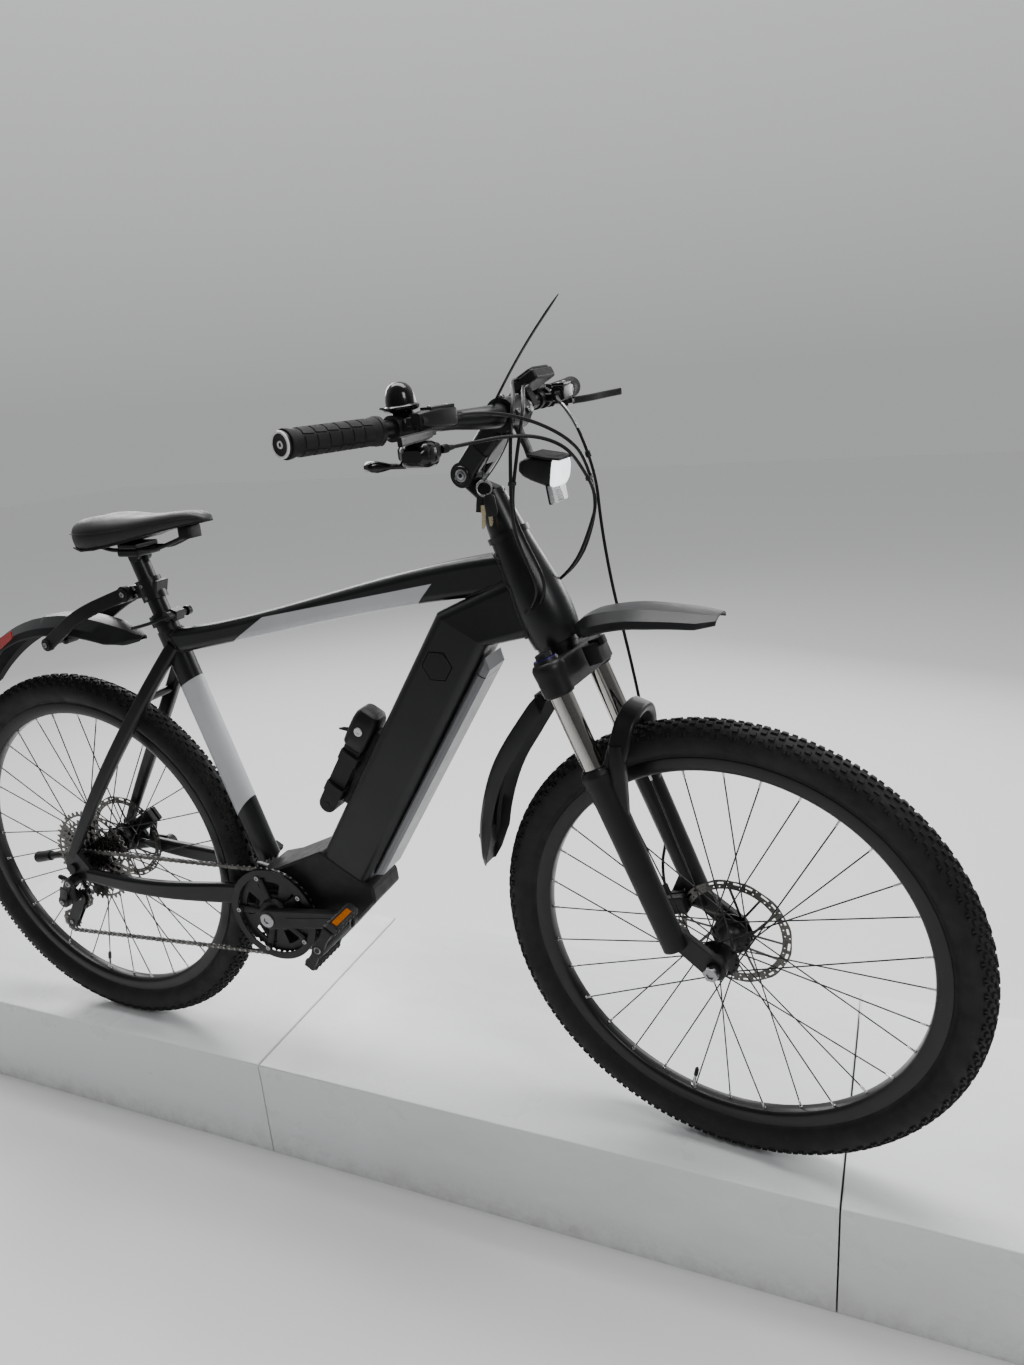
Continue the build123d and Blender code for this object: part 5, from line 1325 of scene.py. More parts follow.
def build_shifter():
    """The pod's rounded cover, barrel adjuster and clamp bolt, and the paddle's pads."""
    shape = Shape()
    pod = bar_at(-0.170, 0.006, 0, -0.035)
    run = turned((-0.2, 1, 0))
    shape.sweep(
        [pod + run * s for s in (0.0235, 0.019, 0.006, -0.010, -0.021, -0.026)],
        rounded(0.044, 0.033, 0.011, 5),
        scales=[(0.70, 0.55), (0.88, 0.80), (1.08, 1.0), (1.04, 0.98), (0.84, 0.76), (0.60, 0.45)],
    )
    mouth = steered(0.932, -0.1508, 1.131)
    way_in = (steered(0.936, -0.126, 1.131) - mouth).normalized()
    shape.mark = 1
    ribs = [(-0.001, 0.0052)]
    for k in range(6):
        ribs += [(0.001 + k * 0.0016, 0.0056), (0.0018 + k * 0.0016, 0.0049)]
    shape.lathe(ribs + [(0.0125, 0.0040), (0.0150, 0.0034)], mouth, way_in, 18)
    shape.bolt(bar_at(-0.170, 0.014, 0, -0.012), turned((1, 0, -0.4)), 0.0034, 0.0022)
    shape.object("shifter_cover", [GLOSS, PLASTIC], "bar", "gloss_plastic")
    paddle = Shape()
    spots = ((-0.002, -0.002, -0.004), (-0.010, -0.007, -0.0045), (-0.018, -0.012, -0.005),
             (-0.026, -0.020, -0.004), (-0.032, -0.028, -0.003), (-0.037, -0.036, -0.002),
             (-0.041, -0.044, -0.001), (-0.0425, -0.048, -0.0005))
    line = [bar_at(-0.170, -0.002 + x, y, -0.042 + z) for x, y, z in spots]
    swell = (
        (0.6, 0.7), (0.75, 0.8), (0.62, 0.62), (0.62, 0.62), (0.95, 1.0), (1.05, 1.25), (0.90, 1.05),
        (0.45, 0.45)
    )
    paddle.sweep(line, rounded(0.021, 0.0120, 0.0050, 5), scales=swell)
    paddle.object("shift_paddle_pads", [GLOSS], "shift_lever", "gloss_plastic")


def build_bell():
    """A tall glossy dome on a flared base, with its striker."""
    foot = bar_at(-0.150, -0.006, -0.034, 0.024)
    up = turned((-0.08, 0, 1))
    shape = Shape()
    shape.lathe(
        [(-0.0050, 0.0130), (-0.0035, 0.0195), (-0.0010, 0.0228), (0.0014, 0.0232), (0.0030, 0.0215),
         (0.0038, 0.0192), (0.0100, 0.0188), (0.0170, 0.0176), (0.0235, 0.0150), (0.0280, 0.0110),
         (0.0305, 0.0058), (0.0312, 0.0004)],
        foot, up, 56,
    )
    shape.lathe([(-0.0125, 0.0125), (-0.0090, 0.0150), (-0.0050, 0.0128), (-0.0030, 0.0060)], foot, up, 40)
    shape.mark = 1
    ring_axis = bar_way(-1)
    centre = bar_at(-0.150)
    shape.lathe(
        [(-0.0062, BAR_SLEEVE), (-0.0062, 0.0140), (-0.0046, 0.0147), (0.0046, 0.0147), (0.0062, 0.0140),
         (0.0062, BAR_SLEEVE)],
        centre, ring_axis, 40, closed=True,
    )
    out = turned((-0.30, -0.95, 0.05))
    shape.sweep(
        [foot + out * 0.012 - up * 0.0024, foot + out * 0.022 - up * 0.0022,
         foot + out * 0.031 + up * 0.0008],
        rounded(0.0085, 0.0028, 0.001, 2), scales=[(1.1, 1), (0.8, 1), (1.0, 0.8)],
    )
    shape.bolt(centre - BAR_UP * 0.0145, -BAR_UP, 0.0030, 0.0022)
    shape.object("dome_bell", [GLOSS, PLASTIC], "bar", "gloss_plastic", ["bell"])


def lens_white():
    """The lamp's bright prismatic front."""
    n = Nodes("lamp_lens")
    ribs = n.tree.nodes.new("ShaderNodeTexWave")
    ribs.inputs["Scale"].default_value = 90
    n.link(n.coords, ribs.inputs["Vector"])
    n.set(Base_Color=(0.86, 0.88, 0.90), Roughness=0.08, Coat_Weight=0.8, Coat_Roughness=0.02)
    n.set(Emission_Color=(0.92, 0.95, 1.0), Emission_Strength=2.0)
    n.normal(n.bump(ribs.outputs["Fac"], 0.25, 0.0006))
    return n.material


def clear_prisms():
    """A clear reflector: tiny cube corners, their light and dark glints painted into the colour."""
    n = Nodes("clear_reflector")
    facets = n.cells(700)
    # painted reflection: each cube corner light in its middle and dark at its edges
    n.colour(n.mix(n.ramp(facets, 0.1, 0.6), (0.66, 0.67, 0.68), (0.26, 0.27, 0.28)))
    n.set(Roughness=0.12, Coat_Weight=1.0, Coat_Roughness=0.03)
    n.normal(n.bump(facets, 0.5, 0.0005))
    return n.material


LENS, PRISMS = lens_white(), clear_prisms()
WHITE_TRIM = mottled("white_trim", (0.60, 0.60, 0.60), (0.72, 0.72, 0.72), (0.4, 0.5), 1500)
RED_LENS = mottled("red_lens", (0.30, 0.006, 0.006), (0.50, 0.012, 0.010), (0.12, 0.2), 800, coat=1.0)
SCREEN = mottled("screen_glass", (0.004, 0.005, 0.006), (0.010, 0.012, 0.014), (0.04, 0.08), 50, bump=0.0)


def lamp_at(ahead, left, up):
    return steered(1.000 + ahead, left, 1.082 + up)


def build_lamp():
    """A tapering lamp body under a flat visor, its bright front and the reflector below."""
    ahead, up = turned((0.985, 0, -0.17)), turned((0.17, 0, 0.985))
    middle = lamp_at(-0.034, 0, 0.006)
    shape = Shape()
    # distance ahead, width, top and bottom of each section
    sections = [(-0.004, 0.018, 0.006, -0.010), (0.004, 0.030, 0.011, -0.014), (0.020, 0.044, 0.017, -0.017),
                (0.040, 0.050, 0.021, -0.020), (0.052, 0.050, 0.021, -0.022)]

    def section(s, width, top, bottom, corner):
        outline = rounded(width, top - bottom, corner, 4)
        return [middle + ahead * s + BAR_LEFT * x + up * (y + (top + bottom) / 2) for x, y in outline]

    shape.rings([section(s, w, top, low, min(w, top - low) * 0.3) for s, w, top, low in sections])
    visor = [
        (-0.024, 0.014), (-0.026, 0.046), (-0.020, 0.062), (0.020, 0.062), (0.026, 0.046), (0.024, 0.014)
    ]
    shape.slab(visor, middle + up * 0.0205, BAR_LEFT, ahead, 0.0030, 0.0006)
    shape.sweep(
        [lamp_at(-0.022, 0, 0.014), lamp_at(-0.027, 0, 0.030), lamp_at(-0.034, 0, 0.046),
         lamp_at(-0.040, 0, 0.060)],
        rounded(0.016, 0.0062, 0.0015, 2), hint=ahead,
    )
    shape.mark = 1
    face = (
        (0.0525, 0.0475, 0.0195, -0.0205), (0.0580, 0.0455, 0.0185, -0.0185),
        (0.0615, 0.0380, 0.0150, -0.0130)
    )
    shape.rings([section(*row, 0.0085) for row in face])
    shape.mark = 2
    back = turned((0.99, 0, 0.139))
    low = lamp_at(0.0115, 0, -0.032)
    shape.slab(rounded(0.044, 0.026, 0.003, 3), low, BAR_LEFT, back.cross(BAR_LEFT), 0.0062, 0.0012)
    shape.mark = 0
    shape.slab(rounded(0.046, 0.028, 0.003, 3), low - back * 0.0022, BAR_LEFT, back.cross(BAR_LEFT), 0.0020)
    shape.sweep(
        [lamp_at(0.006, 0, -0.012), lamp_at(0.008, 0, -0.030)], rounded(0.016, 0.012, 0.002, 2), hint=ahead
    )
    shape.object(
        "lamp_and_reflector", [PLASTIC, LENS, PRISMS], "bar", "black_plastic", ["headlight"], sharp=30
    )


def tilted(degrees):
    """Forward and up on a face that rises towards the front."""
    tilt = math.radians(degrees)
    return turned((math.cos(tilt), 0, math.sin(tilt))), turned((-math.sin(tilt), 0, math.cos(tilt)))


def build_display():
    """Screen, bezel and keys of the display, and the remote's pads."""
    ease(["display_unit"], 0.0016)
    ahead, up = tilted(28)
    shape = Shape()
    top = steered(0.946, 0.084, 1.196) + up * 0.0078
    shape.slab(rounded(0.058, 0.041, 0.008, 5), top, -BAR_LEFT, ahead, 0.0030, 0.0012)
    shape.mark = 1
    shape.slab(rounded(0.050, 0.034, 0.006, 5), top + up * 0.0030, -BAR_LEFT, ahead, 0.0007, 0.0003)
    shape.mark = 0
    remote = bar_at(0.164, -0.006, 0.004, 0.023)
    ahead, up = tilted(20)
    shape.slab(rounded(0.026, 0.030, 0.006, 4), remote - up * 0.0005, -BAR_LEFT, ahead, 0.0028, 0.001)
    for k in (-1, 0, 1):
        shape.slab(
            rounded(0.016, 0.0062, 0.0028, 4), remote + up * 0.0020 + ahead * (k * 0.0085), -BAR_LEFT, ahead,
            0.0018, 0.0007
        )
    shape.object("display_screen", [PLASTIC, SCREEN], "bar", "gloss_plastic")


BAR_TAPER = (
    (0.948, 0.022, 1.158), (0.948, 0.038, 1.158), (0.941, 0.056, 1.1585), (0.930, 0.076, 1.1597),
    (0.919, 0.097, 1.1609), (0.9135, 0.120, 1.1612),
)


def build_stem():
    """The hinged stem's pivot bolt and faceplate bolts, and the bar's swelling beside its clamp."""
    ease(["stem_arm", "stem_base", "handlebar"], 0.0015)
    shape = Shape()
    pivot = place("stem_tilt")
    for side in (-1, 1):
        out = turned((0, side, 0))
        at = pivot + out * 0.0246
        shape.mark = 0
        shape.lathe(
            [(-0.0005, 0.0135), (0.0008, 0.0135), (0.0020, 0.0126), (0.0022, 0.0108), (0.0010, 0.0098)], at,
            out, 40
        )
        shape.mark = 1
        shape.lathe([(0.0006, 0.0092), (0.0014, 0.0092), (0.0016, 0.0084), (0.0011, 0.0078)], at, out, 40)
        shape.lathe(
            [(0.0006, 0.0058), (0.0021, 0.0056), (0.0024, 0.0050), (0.0024, 0.0030), (0.0010, 0.0028)], at,
            out, 24
        )
    bar_middle = steered(0.948, 0, 1.158)
    arm = (bar_middle - pivot).normalized()
    across = BAR_LEFT
    up = across.cross(arm)
    if up.z < 0:
        up = -up
    for side in (-1, 1):
        for lift in (-1, 1):
            at = bar_middle + across * (side * 0.0150) + up * (lift * 0.0150) + arm * 0.0165
            shape.mark = 0
            shape.lathe([(-0.012, 0.0050), (0.0005, 0.0050), (0.0015, 0.0044)], at, arm, 20)
            shape.mark = 1
            shape.bolt(at + arm * 0.0018, arm, 0.0036, 0.0024)
    shape.mark = 0
    for s in (-1, 1):
        shape.lathe([(-0.0008, 0.0233), (0.0008, 0.0233)], bar_middle + across * (s * 0.0236), across, 40)
        line = [steered(x, s * y, z) for x, y, z in BAR_TAPER]
        shape.sweep(line, circle(0.0159, 40), hint=arm, scales=[1.0, 1.0, 0.95, 0.86, 0.77, 0.71])
    shape.object("stem_bolts", [FRAME_BLACK, STEEL], "bar", "plain_steel")


# ---------------------------------------------------------------- hoses and wires
def route_line(points):
    """The smooth line that a hose follows, with the route's points as its control points."""
    curve = bpy.data.curves.new("route", "CURVE")
    curve.dimensions = "3D"
    spline = curve.splines.new("NURBS")
    spline.points.add(len(points) - 1)
    for point, co in zip(spline.points, points):
        point.co = (*co, 1)
    spline.order_u = 3
    spline.use_endpoint_u = True
    spline.resolution_u = 9
    holder = bpy.data.objects.new("route", curve)
    mesh = bpy.data.meshes.new_from_object(holder)
    line = [v.co.copy() for v in mesh.vertices]
    bpy.data.objects.remove(holder)
    bpy.data.curves.remove(curve)
    bpy.data.meshes.remove(mesh)
    return line


def tube(shape, line, radius, count=12):
    """A round tube along a line, its rings carried on without twisting."""
    rings = []
    up = None
    for i, p in enumerate(line):
        along = (line[min(i + 1, len(line) - 1)] - line[max(i - 1, 0)]).normalized()
        up, across = square_to(along, up or UP if abs(along.z) < 0.9 or up else SIDE)
        rings.append([p + across * x + up * y for x, y in circle(radius, count)])
    shape.rings(rings)


def hose_piece(name, points, node):
    """One hose from fitting to fitting, a fixed tube that follows no body."""
    line = route_line(points)
    shape = Shape()
    tube(shape, line, 0.0025)
    made = shape.object(name, [HOSE], None, "hose_black", [node])
    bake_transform(made)


def steered_mm(*points):
    return [steered(x / 1000, y / 1000, z / 1000) for x, y, z in points]


def bike_mm(*points):
    return [bike(x / 1000, y / 1000, z / 1000) for x, y, z in points]


CLIP_LEFT, CLIP_RIGHT, CLIP_FRONT = steered_mm((1043, 43, 1063), (974, -54, 1071), (1012, 112, 1086))
PAIR = BAR_LEFT * 0.0043
PERCH_LEFT, PERCH_RIGHT = bar_at(0.200, 0.052, -0.052, 0.007), bar_at(-0.200, 0.052, 0.052, 0.007)


def onward(points):
    """Where a hose is 34 mm beyond its clip, so that the next stretch leaves in the same direction."""
    end = points[-1]
    return [end, end + (end - points[-2]).normalized() * 0.034]


def ferrule(shape, line, lengths, radii):
    """A stepped sleeve on the start of a line."""
    along = (line[1] - line[0]).normalized()
    profile = []
    at = 0.0
    for length, radius in zip(lengths, radii):
        profile += [(at, radius), (at + length, radius)]
        at += length
    shape.lathe(profile, line[0], along, 20)


def build_hoses():
    """Brake hoses, gear cable and wires, tied in pairs, with their boots, ties and sleeves."""
    brake = [PERCH_RIGHT] + steered_mm(
        (958, -118, 1170), (966, -88, 1167), (982, -54, 1160), (1004, -20, 1145), (1026, 14, 1122),
        (1040, 38, 1094)
    ) + [CLIP_LEFT + PAIR]
    gear = steered_mm(
        (932, -150.8, 1131), (936, -126, 1131), (948, -94, 1132), (972, -60, 1134), (1001, -28, 1130),
        (1024, 3, 1114), (1036, 24, 1090),
    ) + [CLIP_LEFT - PAIR]
    display = steered_mm(
        (952, 52.8, 1191), (957, 34, 1191), (968, 10, 1187), (980, -14, 1172), (985, -36, 1142),
        (981, -48, 1106)
    ) + [CLIP_RIGHT + PAIR]
    remote = steered_mm(
        (938, 52.8, 1199), (941, 36, 1200), (952, 10, 1198), (968, -18, 1185), (976, -42, 1158),
        (976, -55, 1116)
    ) + [CLIP_RIGHT - PAIR]
    front = [PERCH_LEFT] + steered_mm((962, 122, 1167), (984, 110, 1150), (1003, 108, 1120)) + [CLIP_FRONT]
    for name, route, length in (
        ("rear_brake_hose_high", brake, 0.261), ("gear_cable_high", gear, 0.251),
        ("display_wire_high", display, 0.187), ("remote_wire_high", remote, 0.205),
        ("front_brake_hose_high", front, 0.127),
    ):
        hose_piece(name, route, "upper_hoses")
    brake_low = onward(brake) + bike_mm((1046, 30, 992), (1028, 34, 952), (998, 37, 921), (966, 30, 902))
    gear_low = onward(gear) + bike_mm((1044, 20.5, 988), (1024, 24, 948), (992, 27, 916), (962, 21, 897))
    display_low = onward(display) + bike_mm(
        (970, -50, 1000), (985, -47, 965), (998, -45, 934), (995, -42, 908), (978, -30, 888)
    )
    remote_low = onward(remote) + bike_mm(
        (966, -60, 998), (978, -57, 962), (990, -55, 931), (986, -49, 906), (968, -36, 886)
    )
    for name, route, length in (
        ("rear_brake_hose_low", brake_low, 0.199), ("gear_cable_low", gear_low, 0.209),
        ("display_wire_low", display_low, 0.196), ("remote_wire_low", remote_low, 0.197),
    ):
        hose_piece(name, route, "lower_hoses")
    leg = [
        (660, 88, 114), (600, 72, 112), (545, 60, 110), (485, 50, 108), (424, 40, 104), (360, 28, 99),
        (300, 16, 94), (240, 4, 92.5), (185, -4, 91), (146, -20, 84), (116, -36, 70), (92, -33, 50),
    ]
    front_low = onward(front) + [fork(s / 1000, ahead / 1000, left / 1000) for s, ahead, left in leg]
    hose_piece("front_brake_hose_low", front_low, "front_brake_hose")

    ties = Shape()
    for at, low in ((CLIP_LEFT, brake_low), (CLIP_RIGHT, display_low)):
        along = (low[1] - low[0]).normalized()
        up, across = square_to(along, BAR_LEFT)
        outline = rounded(0.0156, 0.0074, 0.0034, 4)
        ties.rings([[at + along * s + up * x + across * y for x, y in outline] for s in (-0.0022, 0.0022)])
        ties.slab(rounded(0.0056, 0.0050, 0.001, 2), at + across * 0.0030, up, along, 0.0052, 0.0008)
    front_way = (front_low[1] - front_low[0]).normalized()
    ties.lathe([(-0.0045, 0.0040), (0.0045, 0.0040)], CLIP_FRONT, front_way, 20)
    ties.slab(
        rounded(0.0075, 0.0060, 0.001, 2), CLIP_FRONT + turned((1, 0, 0)) * 0.003, BAR_LEFT, front_way,
        0.0064, 0.0008
    )
    ties.object("hose_ties", [PLASTIC], "steerer", "black_plastic", sharp=30)

    ends = Shape()
    ferrule(ends, brake, (0.012, 0.004), (0.0044, 0.0036))
    ferrule(ends, front, (0.010, 0.004), (0.0044, 0.0036))
    ferrule(ends, gear, (0.014, 0.006), (0.0040, 0.0034))
    ends.mark = 1
    line = route_line(front)
    tube(ends, line[len(line) // 3: len(line) * 4 // 5], 0.0030, 16)
    ends.object("hose_sleeves", [PLASTIC, STEEL], "bar", "plain_steel")

    ports = Shape()
    for run in (brake_low, gear_low, display_low, remote_low):
        out = (run[-2] - run[-1]).normalized()
        ports.lathe([(-0.004, 0.0062), (0.001, 0.0060), (0.004, 0.0044), (0.009, 0.0036)], run[-1], out, 18)
    ports.object("hose_ports", [PLASTIC], "frame", "black_plastic")


def build_cable_tie():
    """The tie round the bar beside the stem, its uncut tail standing up and forward."""
    shape = Shape()
    at = steered(0.946, -0.038, 1.158)
    across = BAR_LEFT
    shape.lathe(
        [(-0.0019, 0.0108), (-0.0019, 0.0127), (0.0019, 0.0127), (0.0019, 0.0108)], at, across, 36,
        closed=True
    )
    root = at + BAR_UP * 0.0138
    shape.slab(
        rounded(0.0062, 0.0060, 0.0012, 3), root - BAR_UP * 0.002, across, turned((1, 0, 0)), 0.0050, 0.0008
    )
    way_up = turned((0.65, 0, 0.76))
    bend = turned((0.76, 0, -0.65))
    line = [root + way_up * s - bend * (0.004 * math.sin(s * 18)) for s in [0.0058 * k for k in range(30)]]
    shape.sweep(line, rounded(0.0048, 0.0022, 0.0006, 2), hint=bend, scales=[1.0] * 26 + [0.9, 0.8, 0.6, 0.4])
    shape.object("cable_tie", [PLASTIC], "bar", "black_plastic", ["upper_hoses"], sharp=30)


def build_keys():
    """Keys left on the bike: a cord round the bar, a split ring, a black fob and two brass keys."""
    shape = Shape()
    ring = bike(0.921, -0.0520, 1.066)
    out = Vector((0.35, -0.94, 0))
    loop = [
        bike(0.951, -0.021, 1.146), bike(0.957, -0.031, 1.130), bike(0.948, -0.043, 1.106),
        bike(0.933, -0.050, 1.084),
        bike(0.924, -0.0520, 1.0745), ring + Vector((0, 0, 0.006)), bike(0.918, -0.0510, 1.077),
        bike(0.924, -0.046, 1.097), bike(0.937, -0.035, 1.121), bike(0.944, -0.020, 1.140),
    ]
    tube(shape, route_line(loop), 0.0009, 8)

    def hoop(centre, radius, wire, axis):
        a, b = square_to(axis)
        rings = []
        for k in range(28):
            t = math.radians(k * 360 / 28)
            spoke = a * math.cos(t) + b * math.sin(t)
            rings.append([centre + spoke * (radius + x) + axis * y for x, y in circle(wire, 8)])
        shape.rings(rings, closed=True)

    shape.mark = 1
    hoop(ring - UP * 0.003, 0.0105, 0.0009, out.normalized())
    hoop(ring - UP * 0.0045 + out * 0.001, 0.0102, 0.0008, Vector((0.15, -0.98, 0.1)).normalized())
    shape.mark = 0
    fob_way = Vector((0.12, 0.02, -1)).normalized()
    top = ring + Vector((0.006, -0.001, -0.012))
    shape.sweep(
        [top, top + fob_way * 0.004, top + fob_way * 0.024, top + fob_way * 0.030],
        rounded(0.017, 0.0085, 0.0035, 4),
        hint=out, scales=[(0.5, 0.7), (0.95, 1), (1.0, 1), (0.7, 0.8)],
    )
    shape.sweep(
        [ring + Vector((-0.006, 0, -0.012)), ring + Vector((-0.009, -0.001, -0.036))],
        rounded(0.011, 0.004, 0.0015, 3),
        hint=out,
    )
    shape.mark = 2
    for shift, lean, length in ((0.0, -0.10, 0.030), (0.009, 0.06, 0.026)):
        hang = Vector((lean, 0.03, -1)).normalized()
        head = ring + Vector((shift - 0.003, -0.001 - shift * 0.2, -0.030))
        side_way = Vector((0.93, 0.30, 0))
        outline = [(-0.0035, 0.004), (-0.0035, -0.006), (-0.0022, -0.0075), (-0.0022, -length + 0.002),
                   (0, -length), (0.0022, -length + 0.003)]
        for k in range(5):
            low = -length + 0.005 + k * 0.0034
            outline += [(0.0022, low), (0.0036, low + 0.0012), (0.0034, low + 0.0022)]
        outline += [(0.0035, -0.006), (0.0035, 0.004)]
        shape.slab(outline, head, side_way, -hang, 0.0020, 0.0002)
    shape.object("keys", [PLASTIC, STEEL, BRASS], "bar", "plain_steel", sharp=30)


# ---------------------------------------------------------------- saddle
def saddle_cover():
    """Synthetic leather: a fine grain, with rows of small pressed dots on the sides."""
    n = Nodes("saddle_cover")
    tone = n.ramp(n.noise(12, 4, 0.6), 0.35, 0.7)
    n.colour(n.mix(tone, (0.0070, 0.0070, 0.0075), (0.0125, 0.0125, 0.0130)))
    n.roughness(n.ramp(n.noise(30, 3, 0.6), 0.3, 0.7, 0.40, 0.58))
    n.set(Specular_IOR_Level=0.45)
    height = n.axis("Z")
    low = REAR_AXLE.z - WHEEL_R + 1.020
    on_side = n.ramp(height, low - 0.004, low + 0.004, 1.0, 0.0)
    dots = n.math("MULTIPLY", n.ramp(n.cells(330), 0.10, 0.32, 1.0, 0.0), on_side)
    grain = n.math("SUBTRACT", n.math("MULTIPLY", n.noise(900, 3, 0.6), 0.35), dots)
    n.normal(n.bump(grain, 0.5, 0.0007))
    return n.material


SADDLE_STATIONS = (
    (0.1330, 0.022, 1.013, 1.001), (0.1365, 0.040, 1.021, 0.992), (0.1480, 0.060, 1.030, 0.984),
    (0.1750, 0.072, 1.035, 0.980), (0.2050, 0.072, 1.0350, 0.982), (0.2380, 0.061, 1.0325, 0.988),
    (0.2700, 0.046, 1.0315, 0.996), (0.3020, 0.034, 1.0330, 1.003), (0.3350, 0.027, 1.0355, 1.0095),
    (0.3650, 0.023, 1.0370, 1.0140), (0.3850, 0.019, 1.0340, 1.0165), (0.3950, 0.014, 1.0290, 1.0175),
    (0.4000, 0.007, 1.0240, 1.0190),
)
SADDLE_SECTION = (
    (0.0, 0.965), (0.14, 0.985), (0.36, 1.0), (0.60, 0.965), (0.80, 0.88), (0.94, 0.72), (1.0, 0.50),
    (0.975, 0.22), (0.915, 0.03), (0.895, 0.0), (0.82, 0.05), (0.60, 0.20), (0.30, 0.26), (0.0, 0.27),
)


def build_saddle():
    """A padded saddle: broad drooping tail, narrow nose with a lip, a seam and a soft channel on top."""
    shape = Shape()
    rings = []
    for x, half, top, bottom in SADDLE_STATIONS:
        right = [(-half * a, bottom + (top - bottom) * h) for a, h in SADDLE_SECTION]
        left = [(-y, z) for y, z in reversed(right[1:-1])]
        rings.append([bike(x, y, z) for y, z in right + left])
    shape.rings(rings)
    pad_piece = shape.object(
        "saddle", [saddle_cover()], "seatpost", "saddle_cover", ["saddle_pad"], sharp=180, levels=2
    )
    seam = Shape()
    for side in (-1, 1):
        line = [
            bike(x, side * half * 0.975, bottom + (top - bottom) * 0.545)
            for x, half, top, bottom in SADDLE_STATIONS[2:-2]
        ]
        seam_line = route_line(line)
        tube(seam, seam_line, 0.0009, 8)
    seam.mark = 1
    seam.rings([
        [bike(x, y * half * 0.95, bottom + 0.0035 + (top - bottom) * 0.13 * (1 - abs(y)))
        for y in (-1, -0.5, 0, 0.5, 1)]
        + [bike(x, y * half * 0.95, bottom + 0.0005) for y in (1, 0.5, 0, -0.5, -1)]
        for x, half, top, bottom in SADDLE_STATIONS[2:-1]
    ])
    seam.slab(rounded(0.026, 0.034, 0.006, 4), bike(0.353, 0, 0.9925), AHEAD, SIDE, 0.021, 0.002)
    seam.object("saddle_seam_and_base", [HOSE, PLASTIC], "seatpost", "black_plastic", sharp=60)


# ---------------------------------------------------------------- mudguards
def smooth_line(points, count):
    """Evenly spaced points on a smooth curve through the given flat points."""
    points = [Vector(p) for p in points]
    padded = [points[0] * 2 - points[1]] + points + [points[-1] * 2 - points[-2]]
    made = []
    spans = len(points) - 1
    for k in range(count):
        t = k * spans / (count - 1)
        i = min(int(t), spans - 1)
        t -= i
        p0, p1, p2, p3 = padded[i:i + 4]
        made.append(
            (p1 * 2 + (p2 - p0) * t
             + (p0 * 2 - p1 * 5 + p2 * 4 - p3) * t * t + (p1 * 3 - p0 - p2 * 3 + p3) * t ** 3) * 0.5
        )
    return made


def table_at(table, t):
    """Straight-line values between the rows of a table of (t, a, b...)."""
    for low, high in zip(table, table[1:]):
        if t <= high[0]:
            k = (t - low[0]) / (high[0] - low[0])
            return [a + (b - a) * k for a, b in zip(low[1:], high[1:])]
    return list(table[-1][1:])


CREST = ((-1, -1), (-0.90, -0.60), (-0.50, -0.05), (0, 0.02), (0.50, -0.05), (0.90, -0.60), (1, -1))
PANEL = ((-1, -1), (-0.90, -0.25), (-0.78, 0.0), (0, 0.10), (0.78, 0.0), (0.90, -0.25), (1, -1))


GUARD_THICK = 0.0026


def along_guard(shape, line, to_world, out_sign, widths, section):
    """Rings along a flat line, of the (across, out) points that section gives for a half width and a drop."""
    last = len(line) - 1
    rings = []
    for i, p in enumerate(line):
        along = (line[min(i + 1, last)] - line[max(i - 1, 0)]).normalized()
        out = Vector((-along.y, along.x)) * out_sign
        rings.append([to_world(p + out * h, y) for y, h in section(*table_at(widths, i / last))])
    shape.rings(rings)


def guard_blade(shape, line, to_world, out_sign, widths, profile):
    """A thin shell along a flat line: profile points are shares of the half width and the drop."""

    def section(half, drop):
        top = [(half * a, drop * h) for a, h in profile]
        return top + [(half * a * 0.985, drop * h - GUARD_THICK) for a, h in reversed(profile)]

    along_guard(shape, line, to_world, out_sign, widths, section)


def on_fork(p, y):
    return fork(p.x, p.y, y)


def on_bike(p, y):
    return bike(p.x, y, p.y)


